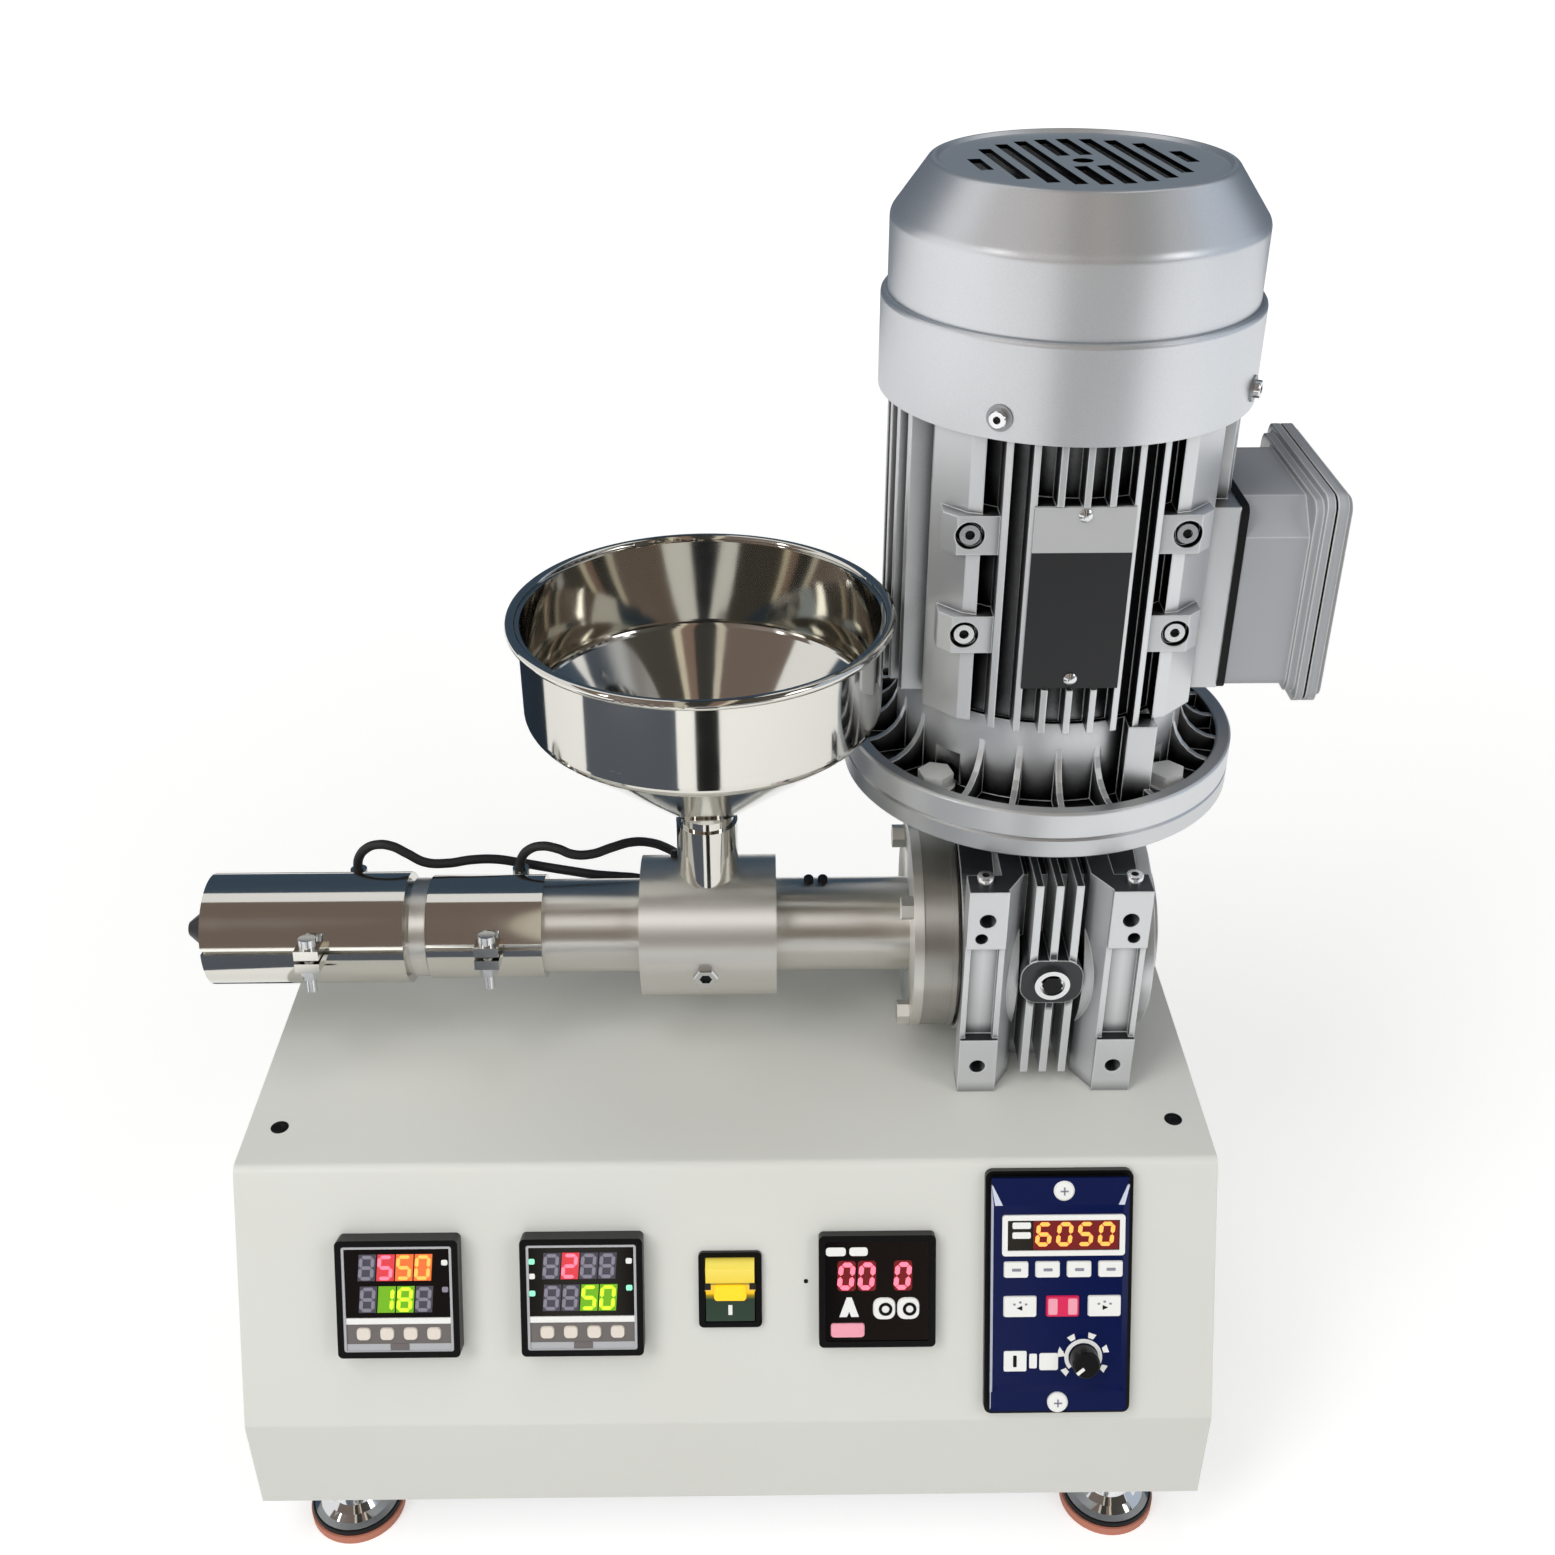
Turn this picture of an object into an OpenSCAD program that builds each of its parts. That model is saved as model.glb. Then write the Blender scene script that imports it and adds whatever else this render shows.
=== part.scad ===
// Bench-top filament extruder: a sheet-metal control cabinet on levelling feet carries a
// worm gearbox with a finned motor on top and a heated barrel with a feed hopper at its side.

/* [Cabinet] */
// Width of the cabinet, side to side
cabinet_w = 387; // [360:1:440]
// Height of the cabinet, without its feet
cabinet_h = 144; // [130:1:180]
// Depth of the flat top, from the front edge to the back
top_d = 196; // [185:1:230]
// Height of the sloping instrument panel
panel_drop = 98; // [96:1:110]
// How far the foot of the sloping panel stands out in front of its top edge
panel_out = 44; // [36:1:52]
// Thickness of the sheet steel
sheet_t = 1.5; // [1:0.1:2.5]
// Outside radius of the bends
bend_r = 4; // [3:0.5:6]

/* [Feet] */
// Height of a levelling foot under the cabinet
foot_h = 30; // [26:1:45]
// Diameter of a foot's pad
foot_d = 39.5; // [30:0.5:50]
// Thickness of the pad's rim
pad_t = 4; // [3:0.5:6]
// Distance of the feet from the cabinet's sides
foot_inset_x = 32; // [26:1:60]
// Distance of the feet from the cabinet's front and back
foot_inset_y = 20.5; // [20:0.5:50]
// Diameter of the threaded stem
stem_d = 10; // [8:0.5:12]

/* [Instruments] */
// Distance of the instrument row down the panel
row_s = 51; // [49:0.5:53]
// Side of a temperature controller's bezel
controller_w = 48; // [44:0.5:52]
// How far a controller's bezel stands out of the panel
controller_proud = 8; // [5:0.5:12]
// Depth of a controller's case behind the panel
controller_deep = 60; // [40:1:75]
// Place of the left controller across the panel
controller_1_x = -129; // [-150:1:-120]
// Place of the right controller across the panel
controller_2_x = -57; // [-66:1:-52]
// Side of the panel meter's bezel
meter_w = 46; // [42:0.5:50]
// How far the meter's bezel stands out of the panel
meter_proud = 5; // [3:0.5:8]
// Place of the meter across the panel
meter_x = 59; // [55:1:62]
// Width of the switch frame
switch_w = 25; // [23:0.5:28]
// Height of the switch frame
switch_h = 31; // [30:0.5:36]
// Place of the switch across the panel
switch_x = 1; // [-8:1:8]
// How far the switch frame stands out of the panel
switch_proud = 2; // [1.5:0.5:3]
// Width of the speed controller's face plate
speed_w = 58; // [54:0.5:62]
// Height of the speed controller's face plate
speed_h = 100; // [90:0.5:102]
// Thickness of the speed controller's face plate
speed_t = 5; // [4:0.5:7]
// Place of the speed controller across the panel
speed_x = 130.5; // [126:0.5:136]
// Diameter of the speed knob
knob_d = 11; // [9:0.5:14]
// Height of the speed knob
knob_h = 8; // [6:0.5:11]

/* [Gearbox] */
// Place of the gearbox and motor across the cabinet
gear_x = 130; // [124:1:136]
// Place of the front feet of the gearbox behind the top's front edge
gear_front_y = 40.6; // [36:0.2:48]
// Width of the gearbox over its foot columns
gear_w = 71; // [66:1:76]
// Height of the gearbox
gear_h = 100; // [94:1:110]
// Distance from the foot face to the output shaft
foot_to_shaft = 50; // [46:1:56]
// Distance between the output shaft and the worm shaft
worm_offset = 40; // [36:1:46]
// Radius of the worm housing
worm_r = 31.5; // [28:0.5:34]
// Width of a foot column
column_w = 15.5; // [13:0.5:17]
// Diameter of the output side's ring and flange
output_d = 85; // [80:1:92]
// Thickness of the spacer ring on the output side
spacer_t = 15; // [10:0.5:20]
// Thickness of the barrel's flange plate
plate_t = 4; // [3:0.5:8]

/* [Motor] */
// Height of the neck between the gearbox and its input flange
neck_h = 8.8; // [6:0.2:14]
// Thickness of the gearbox's input flange
input_flange_t = 8.6; // [6:0.2:14]
// Thickness of the motor flange's rim
motor_flange_t = 11.6; // [8:0.2:16]
// Diameter of both flanges
flange_d = 160; // [150:1:168]
// Diameter of the flanges' bolt circle
flange_pcd = 130; // [126:1:134]
// Height of the end shield's skirt above the flange
skirt_h = 27; // [20:0.5:34]
// Length of the finned frame
frame_h = 116; // [104:1:130]
// Radius of the frame under its fins
frame_core_r = 56; // [53:0.5:58]
// Radius over the fins
fin_r = 66; // [63:0.5:68]
// Thickness of a fin
fin_t = 2.4; // [1.6:0.1:3]
// Spacing of the fins
fin_pitch = 9.2; // [7:0.1:10]
// Radius of the fan cover at its lower edge
cover_r = 70; // [69:0.5:74]
// Height of the fan cover's lower band
cover_band_h = 35.4; // [28:0.2:44]
// Height of the fan cover's upper band
cover_upper_h = 27.1; // [20:0.2:36]
// Height of the fan cover's sloping shoulder
cover_shoulder_h = 18.8; // [12:0.2:26]
// Radius of the fan cover's top disc
cover_top_r = 54; // [48:0.5:58]
// Thickness of the fan cover's sheet
cover_t = 1.5; // [1:0.1:2.5]

/* [Terminal box] */
// Side of the terminal box's lid
lid_w = 86; // [78:1:90]
// Thickness of the lid
lid_t = 6; // [4:0.5:9]
// How far the lid's face stands from the motor's axis
lid_reach = 103; // [96:1:112]
// Side of the terminal box's body
box_w = 75; // [62:1:76]

/* [Barrel] */
// Outer diameter of the barrel
barrel_d = 39.4; // [36:0.2:40.4]
// Bore of the barrel
bore_d = 20; // [16:0.5:22]
// Length of the barrel from its flange to its nozzle end
barrel_l = 291; // [284:1:310]
// Length of the feed collar
collar_l = 56; // [48:1:64]
// Diameter of the feed collar
collar_d = 59; // [54:1:66]
// Distance from the flange plate to the middle of the collar
collar_at = 83; // [74:1:90]
// Length of the front band heater
heater_1_l = 83; // [70:1:90]
// Diameter of the front band heater
heater_1_d = 46.6; // [45:0.2:50]
// Length of the rear band heater
heater_2_l = 47.5; // [40:0.5:54]
// Diameter of the rear band heater
heater_2_d = 43.4; // [42.8:0.2:48]
// Width of the plain ring between the heaters
ring_w = 9; // [6:0.5:14]
// Length of the nozzle
nozzle_l = 11; // [8:0.5:18]
// Diameter of the nozzle's base
nozzle_d = 24; // [20:0.5:30]
// Diameter of the nozzle's outlet
outlet_d = 3; // [2:0.1:4]

/* [Hopper] */
// Height of the hopper's rim above the cabinet's top
rim_z = 197; // [180:1:215]
// Diameter of the hopper over its rolled rim
rim_d = 148; // [140:1:156]
// Diameter of the hopper's wall
bowl_d = 139; // [130:1:139.5]
// Height of the hopper's upright wall
bowl_wall_h = 40; // [30:1:50]
// Height of the hopper's cone
cone_h = 50; // [44:1:60]
// Thickness of the hopper's sheet
bowl_t = 1; // [0.8:0.1:2]
// Diameter of the hopper's tube
tube_d = 22.4; // [20:0.2:23]
// Diameter of the sleeve that takes the tube
sleeve_d = 25; // [24.4:0.2:28]

/* [Hidden] */
$fn = 64;

// Levels and planes of the cabinet, with the floor at zero and the front-top edge at y = 0
cabinet_z = foot_h;
top_z = cabinet_z + cabinet_h;
panel_angle = atan(panel_out / panel_drop);
panel_len = sqrt(panel_out * panel_out + panel_drop * panel_drop);
cut_gap = 0.3;
half_w = cabinet_w / 2;
eps = 0.01;

// Axes of the drive and the barrel
shaft_y = gear_front_y + foot_to_shaft;
shaft_z = top_z + gear_h / 2;
motor_y = shaft_y + worm_offset;
gear_left = gear_x - gear_w / 2;
gear_right = gear_x + gear_w / 2;
gear_top = top_z + gear_h;
flange_z = gear_top + neck_h;
seam_z = flange_z + input_flange_t;
rim_top_z = seam_z + motor_flange_t;
frame_z = rim_top_z + skirt_h;
frame_top = frame_z + frame_h;
cover_overlap = 1;
cover_z = frame_top - cover_overlap;
cover_step_z = cover_z + cover_band_h;
cover_shoulder_z = cover_step_z + cover_upper_h;
cover_top_z = cover_shoulder_z + cover_shoulder_h;
cover_upper_r = cover_r - 2.5;

// Places along the barrel
plate_x = gear_left - spacer_t - plate_t;
collar_x = plate_x - collar_at;
barrel_end = plate_x - barrel_l;
heater_1_x = barrel_end;
ring_x = heater_1_x + heater_1_l;
heater_2_x = ring_x + ring_w;
nozzle_tip = barrel_end - nozzle_l;
collar_r = collar_d / 2;
barrel_r = barrel_d / 2;

// Levels of the hopper
hopper_z = top_z + rim_z;
bowl_z = hopper_z - bowl_wall_h;
throat_z = bowl_z - cone_h;
sleeve_top = throat_z - 4;
sleeve_seat = shaft_z + barrel_r;

// Terminal box
box_clear = 4.5;
box_low = box_w / 2 + box_clear;
box_z = frame_z + box_low;
lid_x = gear_x + lid_reach;
gasket_t = 1;
box_pad_r = fin_r - 3;

// Speed controller and its knob
speed_s = row_s + 1.8;
knob_s = speed_s + 26;
knob_x = speed_x + 10;
knob_gap = 0.4;
knob_shaft_d = 6;
knob_shaft_h = 5;
knob_chamfer = 0.8;
bevel = 1.5;

// The middle of the floor plan is the origin
frame_x = (nozzle_tip + lid_x) / 2;
speed_foot_s = speed_s + speed_h / 2;
plate_front = -(speed_foot_s - bevel) * sin(panel_angle) - speed_t * cos(panel_angle);
knob_low = knob_s + knob_d / 2 - knob_chamfer;
knob_tip = speed_t + knob_gap + knob_h;
knob_front = -knob_low * sin(panel_angle) - knob_tip * cos(panel_angle);
front_y = min(plate_front, knob_front);
back_y = max(motor_y + flange_d / 2, top_d);
frame_y = (front_y + back_y) / 2;

module placed() {
    translate([-frame_x, -frame_y, 0]) children();
}

// Points of an arc that rounds the corner b between a and c, from the tangent points inwards
function unit(v) = v / norm(v);
function rounded(a, b, c, r, n = 5) =
    let (u = unit(a - b), w = unit(c - b), half = acos(u * w) / 2,
         reach = r / tan(half), m = b + unit(u + w) * r / sin(half),
         p = b + u * reach - m, q = b + w * reach - m,
         start = atan2(p[1], p[0]), turn = atan2(p[0] * q[1] - p[1] * q[0], p * q))
    [for (i = [0:n]) m + r * [cos(start + turn * i / n), sin(start + turn * i / n)]];

// Outline of the cabinet from the side, inset by t, as points of depth and height
function slope_inset(t) = t * (1 - sin(panel_angle)) / cos(panel_angle);
function cabinet_outline(t = 0) =
    let (edge = [slope_inset(t), top_z - t],
         fold = [-panel_out + t, top_z - panel_drop - t * tan(panel_angle / 2)],
         low_f = [-panel_out + t, cabinet_z], low_b = [top_d - t, cabinet_z], top_b = [top_d - t, top_z - t],
         r = max(bend_r - t, 0.2))
    concat([low_b], rounded(low_b, top_b, edge, r), rounded(top_b, edge, fold, r),
           rounded(edge, fold, low_f, r), [low_f]);

// Carries a shape drawn as depth and height across the cabinet from x0 to x1
module across(x0, x1) {
    translate([x0, 0, 0]) rotate([90, 0, 90]) linear_extrude(x1 - x0) children();
}

// Puts a piece on the sloping panel: x across, s down the panel, h out of its face
module on_panel(x, s, h = 0) {
    translate([x, 0, top_z]) rotate([90 - panel_angle, 0, 0]) translate([0, -s, h]) children();
}

// A block on the panel, centred across, from h0 to h1 out of the face
module panel_block(w, l, h0, h1) {
    translate([-w / 2, -l / 2, h0]) cube([w, l, h1 - h0]);
}

// A block with rounded upright edges, centred, from z0 to z1
module rounded_block(w, l, r, z0, z1) {
    translate([0, 0, z0]) linear_extrude(z1 - z0) rounded_rectangle(w, l, r);
}

module rounded_rectangle(w, l, r) {
    square([w - 2 * r, l], center = true);
    square([w, l - 2 * r], center = true);
    for (x = [-1, 1], y = [-1, 1]) translate([x * (w / 2 - r), y * (l / 2 - r)]) circle(r);
}

// A cylinder along +X from x0 to x1 on the barrel's axis
module along_barrel(x0, x1, d) {
    translate([x0, shaft_y, shaft_z]) rotate([0, 90, 0]) cylinder(h = x1 - x0, d = d);
}

// A disc with chamfered edges, from z = 0 to h
edge_c = 0.8;

module chamfered_disc(r, h) {
    rotate_extrude()
        polygon([[0, 0], [r - edge_c, 0], [r, edge_c], [r, h - edge_c], [r - edge_c, h], [0, h]]);
}

// A hollow curve from the outer point to the inner, higher one, as points of radius and height
function hollow(outer, inner, n = 6) =
    [for (i = [0:n]) [outer[0] - (outer[0] - inner[0]) * sin(90 * i / n),
                      inner[1] - (inner[1] - outer[1]) * cos(90 * i / n)]];

// Cabinet
controller_case_w = controller_w - 3;
meter_case_w = meter_w - 3;
switch_case_w = switch_w - 3;
switch_case_h = switch_h - 2;
speed_case_w = speed_w - 12;
speed_case_h = speed_h - 12;
panel_cut_deep = 3 * sheet_t;

module panel_cutout(x, s, w, l) {
    on_panel(x, s) panel_block(w + 2 * cut_gap, l + 2 * cut_gap, -panel_cut_deep, panel_cut_deep);
}

module cabinet_shell() {
    color("gainsboro") difference() {
        across(-half_w + sheet_t, half_w - sheet_t) difference() {
            polygon(cabinet_outline());
            polygon(cabinet_outline(sheet_t));
        }
        for (x = [controller_1_x, controller_2_x])
            panel_cutout(x, row_s, controller_case_w, controller_case_w);
        panel_cutout(meter_x, row_s, meter_case_w, meter_case_w);
        panel_cutout(switch_x, row_s, switch_case_w, switch_case_h);
        panel_cutout(speed_x, speed_s, speed_case_w, speed_case_h);
        for (x = gland_xs) translate([x, gland_y, top_z - panel_cut_deep])
            cylinder(h = 2 * panel_cut_deep, d = gland_thread_d + 2 * cut_gap);
    }
}

module side_panel(x0) {
    color("gainsboro") across(x0, x0 + sheet_t) polygon(cabinet_outline());
}

module bottom_plate() {
    color("silver") difference() {
        translate([-half_w + sheet_t, -panel_out + sheet_t, cabinet_z])
            cube([cabinet_w - 2 * sheet_t, panel_out + top_d - 2 * sheet_t, 2 * sheet_t]);
        for (x = foot_xs, y = foot_ys) translate([x, y, cabinet_z - eps])
            cylinder(h = 3 * sheet_t, d = stem_d + 2 * cut_gap);
    }
}

// Feet
foot_xs = [-half_w + foot_inset_x, half_w - foot_inset_x];
foot_ys = [-panel_out + foot_inset_y, top_d - foot_inset_y];
nut_h = 5;
nut_d = 1.9 * stem_d;
pad_step = 1.5;
rim_h = 2.5;
collar_gap = 1.5;

module foot(x, y) {
    dome_r = foot_d / 2 - pad_step;
    neck = [stem_d / 2 + collar_gap, foot_h - nut_h];
    color("silver") translate([x, y, 0]) {
        rotate_extrude() polygon(concat([[0, pad_t], [dome_r, pad_t]],
            hollow([dome_r, pad_t + rim_h], neck), [[0, foot_h - nut_h]]));
        cylinder(h = foot_h + 4 * sheet_t, d = stem_d - 2 * cut_gap);
        translate([0, 0, foot_h - nut_h]) cylinder(h = nut_h, d = nut_d, $fn = 6);
    }
}

module foot_pads() {
    color("darksalmon") for (x = foot_xs, y = foot_ys) translate([x, y, 0]) difference() {
        cylinder(h = pad_t, d = foot_d);
        translate([0, 0, -eps]) cylinder(h = pad_t + 2 * eps, d = stem_d);
    }
}

// Instruments
bezel_r = 2;
window_deep = 1.2;

module square_instrument(x, w, proud, case_w, deep) {
    on_panel(x, row_s) difference() {
        union() {
            rounded_block(w, w, bezel_r, 0, proud);
            panel_block(case_w, case_w, -deep, 0);
        }
        translate([0, 0, proud - window_deep]) rounded_block(w - 5, w - 5, 1, 0, window_deep + eps);
    }
}

module controller(x) {
    color("dimgray") square_instrument(x, controller_w, controller_proud, controller_case_w, controller_deep);
}

module panel_meter() {
    color("black") square_instrument(meter_x, meter_w, meter_proud, meter_case_w, controller_deep / 2);
}

// Rocker switch: the rocker is a round-ended block on a cross pin, so its ends clear the frame
rocker_gap = 0.4;
rocker_r = switch_h / 2 - 2.5;
rocker_w = switch_w - 5;
rocker_tilt = 12;
pin_d = 3;
pin_gap = 0.05;
switch_deep = 14;

module switch_frame() {
    color("black") on_panel(switch_x, row_s) difference() {
        union() {
            rounded_block(switch_w, switch_h, bezel_r, 0, switch_proud);
            panel_block(switch_case_w, switch_case_h, -switch_deep - 2, 0);
        }
        panel_block(rocker_w, 2 * rocker_r + 2 * rocker_gap, -switch_deep, switch_proud + eps);
        rotate([0, 90, 0]) translate([0, 0, -switch_w / 2 + 1]) cylinder(h = switch_w - 2, d = pin_d);
    }
}

module switch_rocker() {
    w = rocker_w - 2 * rocker_gap;
    color("gold") on_panel(switch_x, row_s) rotate([rocker_tilt, 0, 0]) {
        intersection() {
            rotate([0, 90, 0]) cylinder(h = w, r = rocker_r, center = true);
            rotate([90, 0, 90]) linear_extrude(w, center = true)
                polygon([[-rocker_r, -6], [rocker_r, -6], [rocker_r, 5], [0, 2.6], [-rocker_r, 5]]);
        }
        rotate([0, 90, 0])
            cylinder(h = switch_w - 2 - 2 * rocker_gap, d = pin_d - 2 * pin_gap, center = true);
    }
}

// Speed controller with its plain face plate, and the knob on its shaft
module speed_controller() {
    color("midnightblue") {
        on_panel(speed_x, speed_s) {
            rounded_block(speed_w, speed_h, 3, 0, speed_t - bevel);
            rounded_block(speed_w - 2 * bevel, speed_h - 2 * bevel, 3, speed_t - bevel, speed_t);
            panel_block(speed_case_w, speed_case_h, -controller_deep, 0);
        }
        on_panel(knob_x, knob_s, speed_t) cylinder(h = knob_shaft_h, d = knob_shaft_d);
    }
}

module speed_knob() {
    color("black") on_panel(knob_x, knob_s, speed_t + knob_gap) difference() {
        union() {
            cylinder(h = knob_h - 1, d = knob_d);
            translate([0, 0, knob_h - 1]) cylinder(h = 1, d1 = knob_d, d2 = knob_d - 2 * knob_chamfer);
        }
        translate([0, 0, -eps]) cylinder(h = knob_shaft_h - knob_gap + 0.4, d = knob_shaft_d + 2 * pin_gap);
    }
}

// Gearbox: two foot columns with a channel in each, and ribs in the deep gap between their slanted walls
foot_block_h = 27;
foot_block_t = 1.8;
foot_hole_d = 6.5;
foot_hole_deep = 10;
foot_hole_x = gear_w / 2 - column_w / 2;
foot_hole_zs = [13.5, gear_h - 13.5];
spare_hole_d = 5;
spare_hole_z = gear_h - 22;
column_deep = 12;
rail_w = 2.2;
channel_deep = 5;
wall_slope = 7;
wall_deep = 13;
gap_y = -foot_to_shaft + 24;
rib_y = -foot_to_shaft + 4;
rib_low_z = 7;
rib_pitch = 7.8;
rib_t = 3;
top_gap = 8;
boss_w = 25;
boss_h = 21;
boss_r = 8;
boss_y = rib_y - 0.5;
plug_z = gear_h / 2 + 4;
wheel_case_r = gear_h / 2 - 6;
column_in = gear_w / 2 - column_w;
gap_half = column_in - wall_slope;

module on_gearbox() {
    translate([gear_x, shaft_y, top_z]) children();
}

module foot_column() {
    front = -foot_to_shaft;
    half = gear_w / 2;
    difference() {
        union() {
            linear_extrude(gear_h) polygon([[half, front + column_deep], [half, front + foot_block_t],
                [column_in, front + foot_block_t], [gap_half, front + wall_deep], [gap_half, 0],
                [column_in + 2, 0], [column_in + 2, front + column_deep]]);
            for (z = [0, gear_h - foot_block_h]) translate([column_in, front, z])
                cube([column_w, foot_block_t + eps, foot_block_h]);
        }
        translate([column_in + rail_w, front - eps, foot_block_h])
            cube([column_w - 2 * rail_w, channel_deep, gear_h - 2 * foot_block_h]);
        for (z = foot_hole_zs) translate([foot_hole_x, front - eps, z]) rotate([-90, 0, 0])
            cylinder(h = foot_hole_deep, d = foot_hole_d);
        translate([foot_hole_x + 2, front - eps, spare_hole_z]) rotate([-90, 0, 0])
            cylinder(h = foot_hole_deep, d = spare_hole_d);
    }
    translate([gap_half, 0, gear_h / 2]) rotate([0, 90, 0]) cylinder(h = half - gap_half, r = wheel_case_r);
}

module gearbox_housing() {
    rib_back = worm_offset - worm_r + 2;
    color("silver") on_gearbox() {
        translate([-column_in - 2, gap_y, 0])
            cube([2 * column_in + 4, worm_offset - gap_y, gear_h - top_gap]);
        translate([0, worm_offset, 0]) cylinder(h = gear_h, r = worm_r);
        for (side = [0, 1]) mirror([side, 0, 0]) foot_column();
        for (i = [-1:1]) translate([i * rib_pitch - rib_t / 2, rib_y, rib_low_z])
            cube([rib_t, rib_back - rib_y, gear_h - rib_low_z]);
        translate([0, boss_y, plug_z]) rotate([-90, 0, 0]) linear_extrude(gap_y - boss_y + 1)
            rounded_rectangle(boss_w, boss_h, boss_r);
    }
}

module oil_plug() {
    plug_r = 7;
    color("silver") on_gearbox() translate([0, boss_y, plug_z]) rotate([90, 0, 0]) difference() {
        cylinder(h = 2.5, r = plug_r);
        translate([0, 0, 0.8]) cylinder(h = 3, r = plug_r - 2);
    }
}

module gearbox_cover() {
    cover_h = 6;
    color("silver") {
        along_barrel(gear_right, gear_right + cover_h, output_d);
        along_barrel(gear_right + cover_h - eps, gear_right + cover_h + 5, 0.6 * output_d);
    }
}

// Spacer with a raised lip and a narrow groove beside the gearbox
spacer_gap = 1.5;
spacer_lip = 2;
spacer_groove = 3;

module output_spacer() {
    lip_x = gear_left - spacer_gap - spacer_lip;
    color("darkgray") {
        along_barrel(gear_left - spacer_t, lip_x + eps, output_d);
        along_barrel(lip_x, lip_x + spacer_lip, output_d + 1);
        along_barrel(lip_x + spacer_lip - eps, gear_left, output_d - 2 * spacer_groove);
    }
}

module barrel_flange() {
    bolt_r = 37.5;
    color("silver") {
        along_barrel(plate_x, plate_x + plate_t, output_d + 1);
        for (a = [45:90:315]) translate([plate_x, shaft_y, shaft_z]) rotate([a, 0, 0])
            translate([0, 0, bolt_r]) rotate([0, -90, 0]) cylinder(h = 5, d = 10, $fn = 6);
    }
}

// Flanges between the gearbox and the motor
module on_motor(z) {
    translate([gear_x, motor_y, z]) children();
}

flange_r = flange_d / 2;
neck_r = gear_w / 2 + 10;
dish_r = flange_r - 6;
dish_floor = 4;
skirt_r = frame_core_r + 2;
rib_count = 24;
shield_rib_t = 2.4;
bolt_d = 8;
washer_d = 2 * bolt_d;
washer_t = 1.5;
hex_d = 1.8 * bolt_d;
head_h = 5.5;
pocket_d = washer_d + 3;
pocket_h = 14;
pillar_x = 25;
pillar_y = 61;
pillar_w = 11;

module gearbox_flange() {
    color("silver") on_motor(gear_top) {
        cylinder(h = neck_h + eps, r = neck_r);
        translate([0, 0, neck_h]) chamfered_disc(flange_r, input_flange_t);
    }
}

module motor_end_shield() {
    rib_low = motor_flange_t - 1.5;
    rib_high = motor_flange_t + skirt_h * 0.6;
    color("silver") on_motor(seam_z) {
        rotate_extrude() polygon([[0, 0], [flange_r - edge_c, 0], [flange_r, edge_c],
            [flange_r, motor_flange_t - edge_c], [flange_r - edge_c, motor_flange_t],
            [dish_r + edge_c, motor_flange_t], [dish_r, motor_flange_t - edge_c],
            [dish_r, dish_floor], [0, dish_floor]]);
        difference() {
            cylinder(h = motor_flange_t + skirt_h, r = skirt_r);
            for (a = [45:90:315]) rotate(a) translate([flange_pcd / 2, 0, dish_floor])
                cylinder(h = pocket_h, d = pocket_d);
        }
        for (i = [0:rib_count - 1]) if ((i + 3) % 6 != 0) rotate(i * 360 / rib_count)
            translate([0, shield_rib_t / 2, 0]) rotate([90, 0, 0]) linear_extrude(shield_rib_t)
                polygon(concat([[skirt_r - 1, 1], [dish_r + eps, 1]],
                    hollow([dish_r + eps, rib_low], [skirt_r, rib_high]), [[skirt_r - 1, rib_high]]));
        translate([pillar_x, -pillar_y, dish_floor - eps])
            cube([pillar_w, pillar_w, motor_flange_t + skirt_h - dish_floor + eps]);
    }
}

module flange_bolts() {
    color("silver") for (a = [45:90:315]) on_motor(0) rotate(a) translate([flange_pcd / 2, 0, 0]) {
        translate([0, 0, seam_z + dish_floor]) cylinder(h = washer_t, d = washer_d);
        translate([0, 0, seam_z + dish_floor + washer_t]) cylinder(h = head_h, d = hex_d, $fn = 6);
        translate([0, 0, flange_z - head_h]) cylinder(h = head_h, d = hex_d, $fn = 6);
    }
}

// Motor frame: parallel fins on four sides, slanted cast corners, screw pads on the front and back, two seats
corner_x = 35;
strip_w = 5;
flank = 12;
corner_y = sqrt(fin_r * fin_r - (corner_x + strip_w / 2) * (corner_x + strip_w / 2));
pad_in = corner_x - 6.5;
pad_out = 49;
pad_seat = corner_y + 2;
pad_chamfer = 5;
pad_h = 15;
pad_zs = [37.3, 77];
pad_screw_x = 39.3;
counterbore_d = 10.6;
counterbore_h = 5;
plate_w = 36;
plate_h = 72;
plate_low = 19;
nameplate_t = 1;
plate_seat = fin_r - 2.5;
fin_side = 3;

module fin_group(turn) {
    rotate(turn) intersection() {
        cylinder(h = frame_h, r = fin_r);
        for (i = [-fin_side:fin_side]) translate([i * fin_pitch - fin_t / 2, 0, 0])
            cube([fin_t, fin_r, frame_h]);
    }
}

module frame_corner() {
    side = corner_x + strip_w;
    linear_extrude(frame_h) polygon([[corner_x, 0.5 * corner_x], [corner_x, corner_y],
        [side, corner_y - 1.5], [side + flank, corner_y - 1.5 - flank],
        [side + flank, corner_y - 6 - flank], [side, 0.5 * corner_x]]);
}

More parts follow.
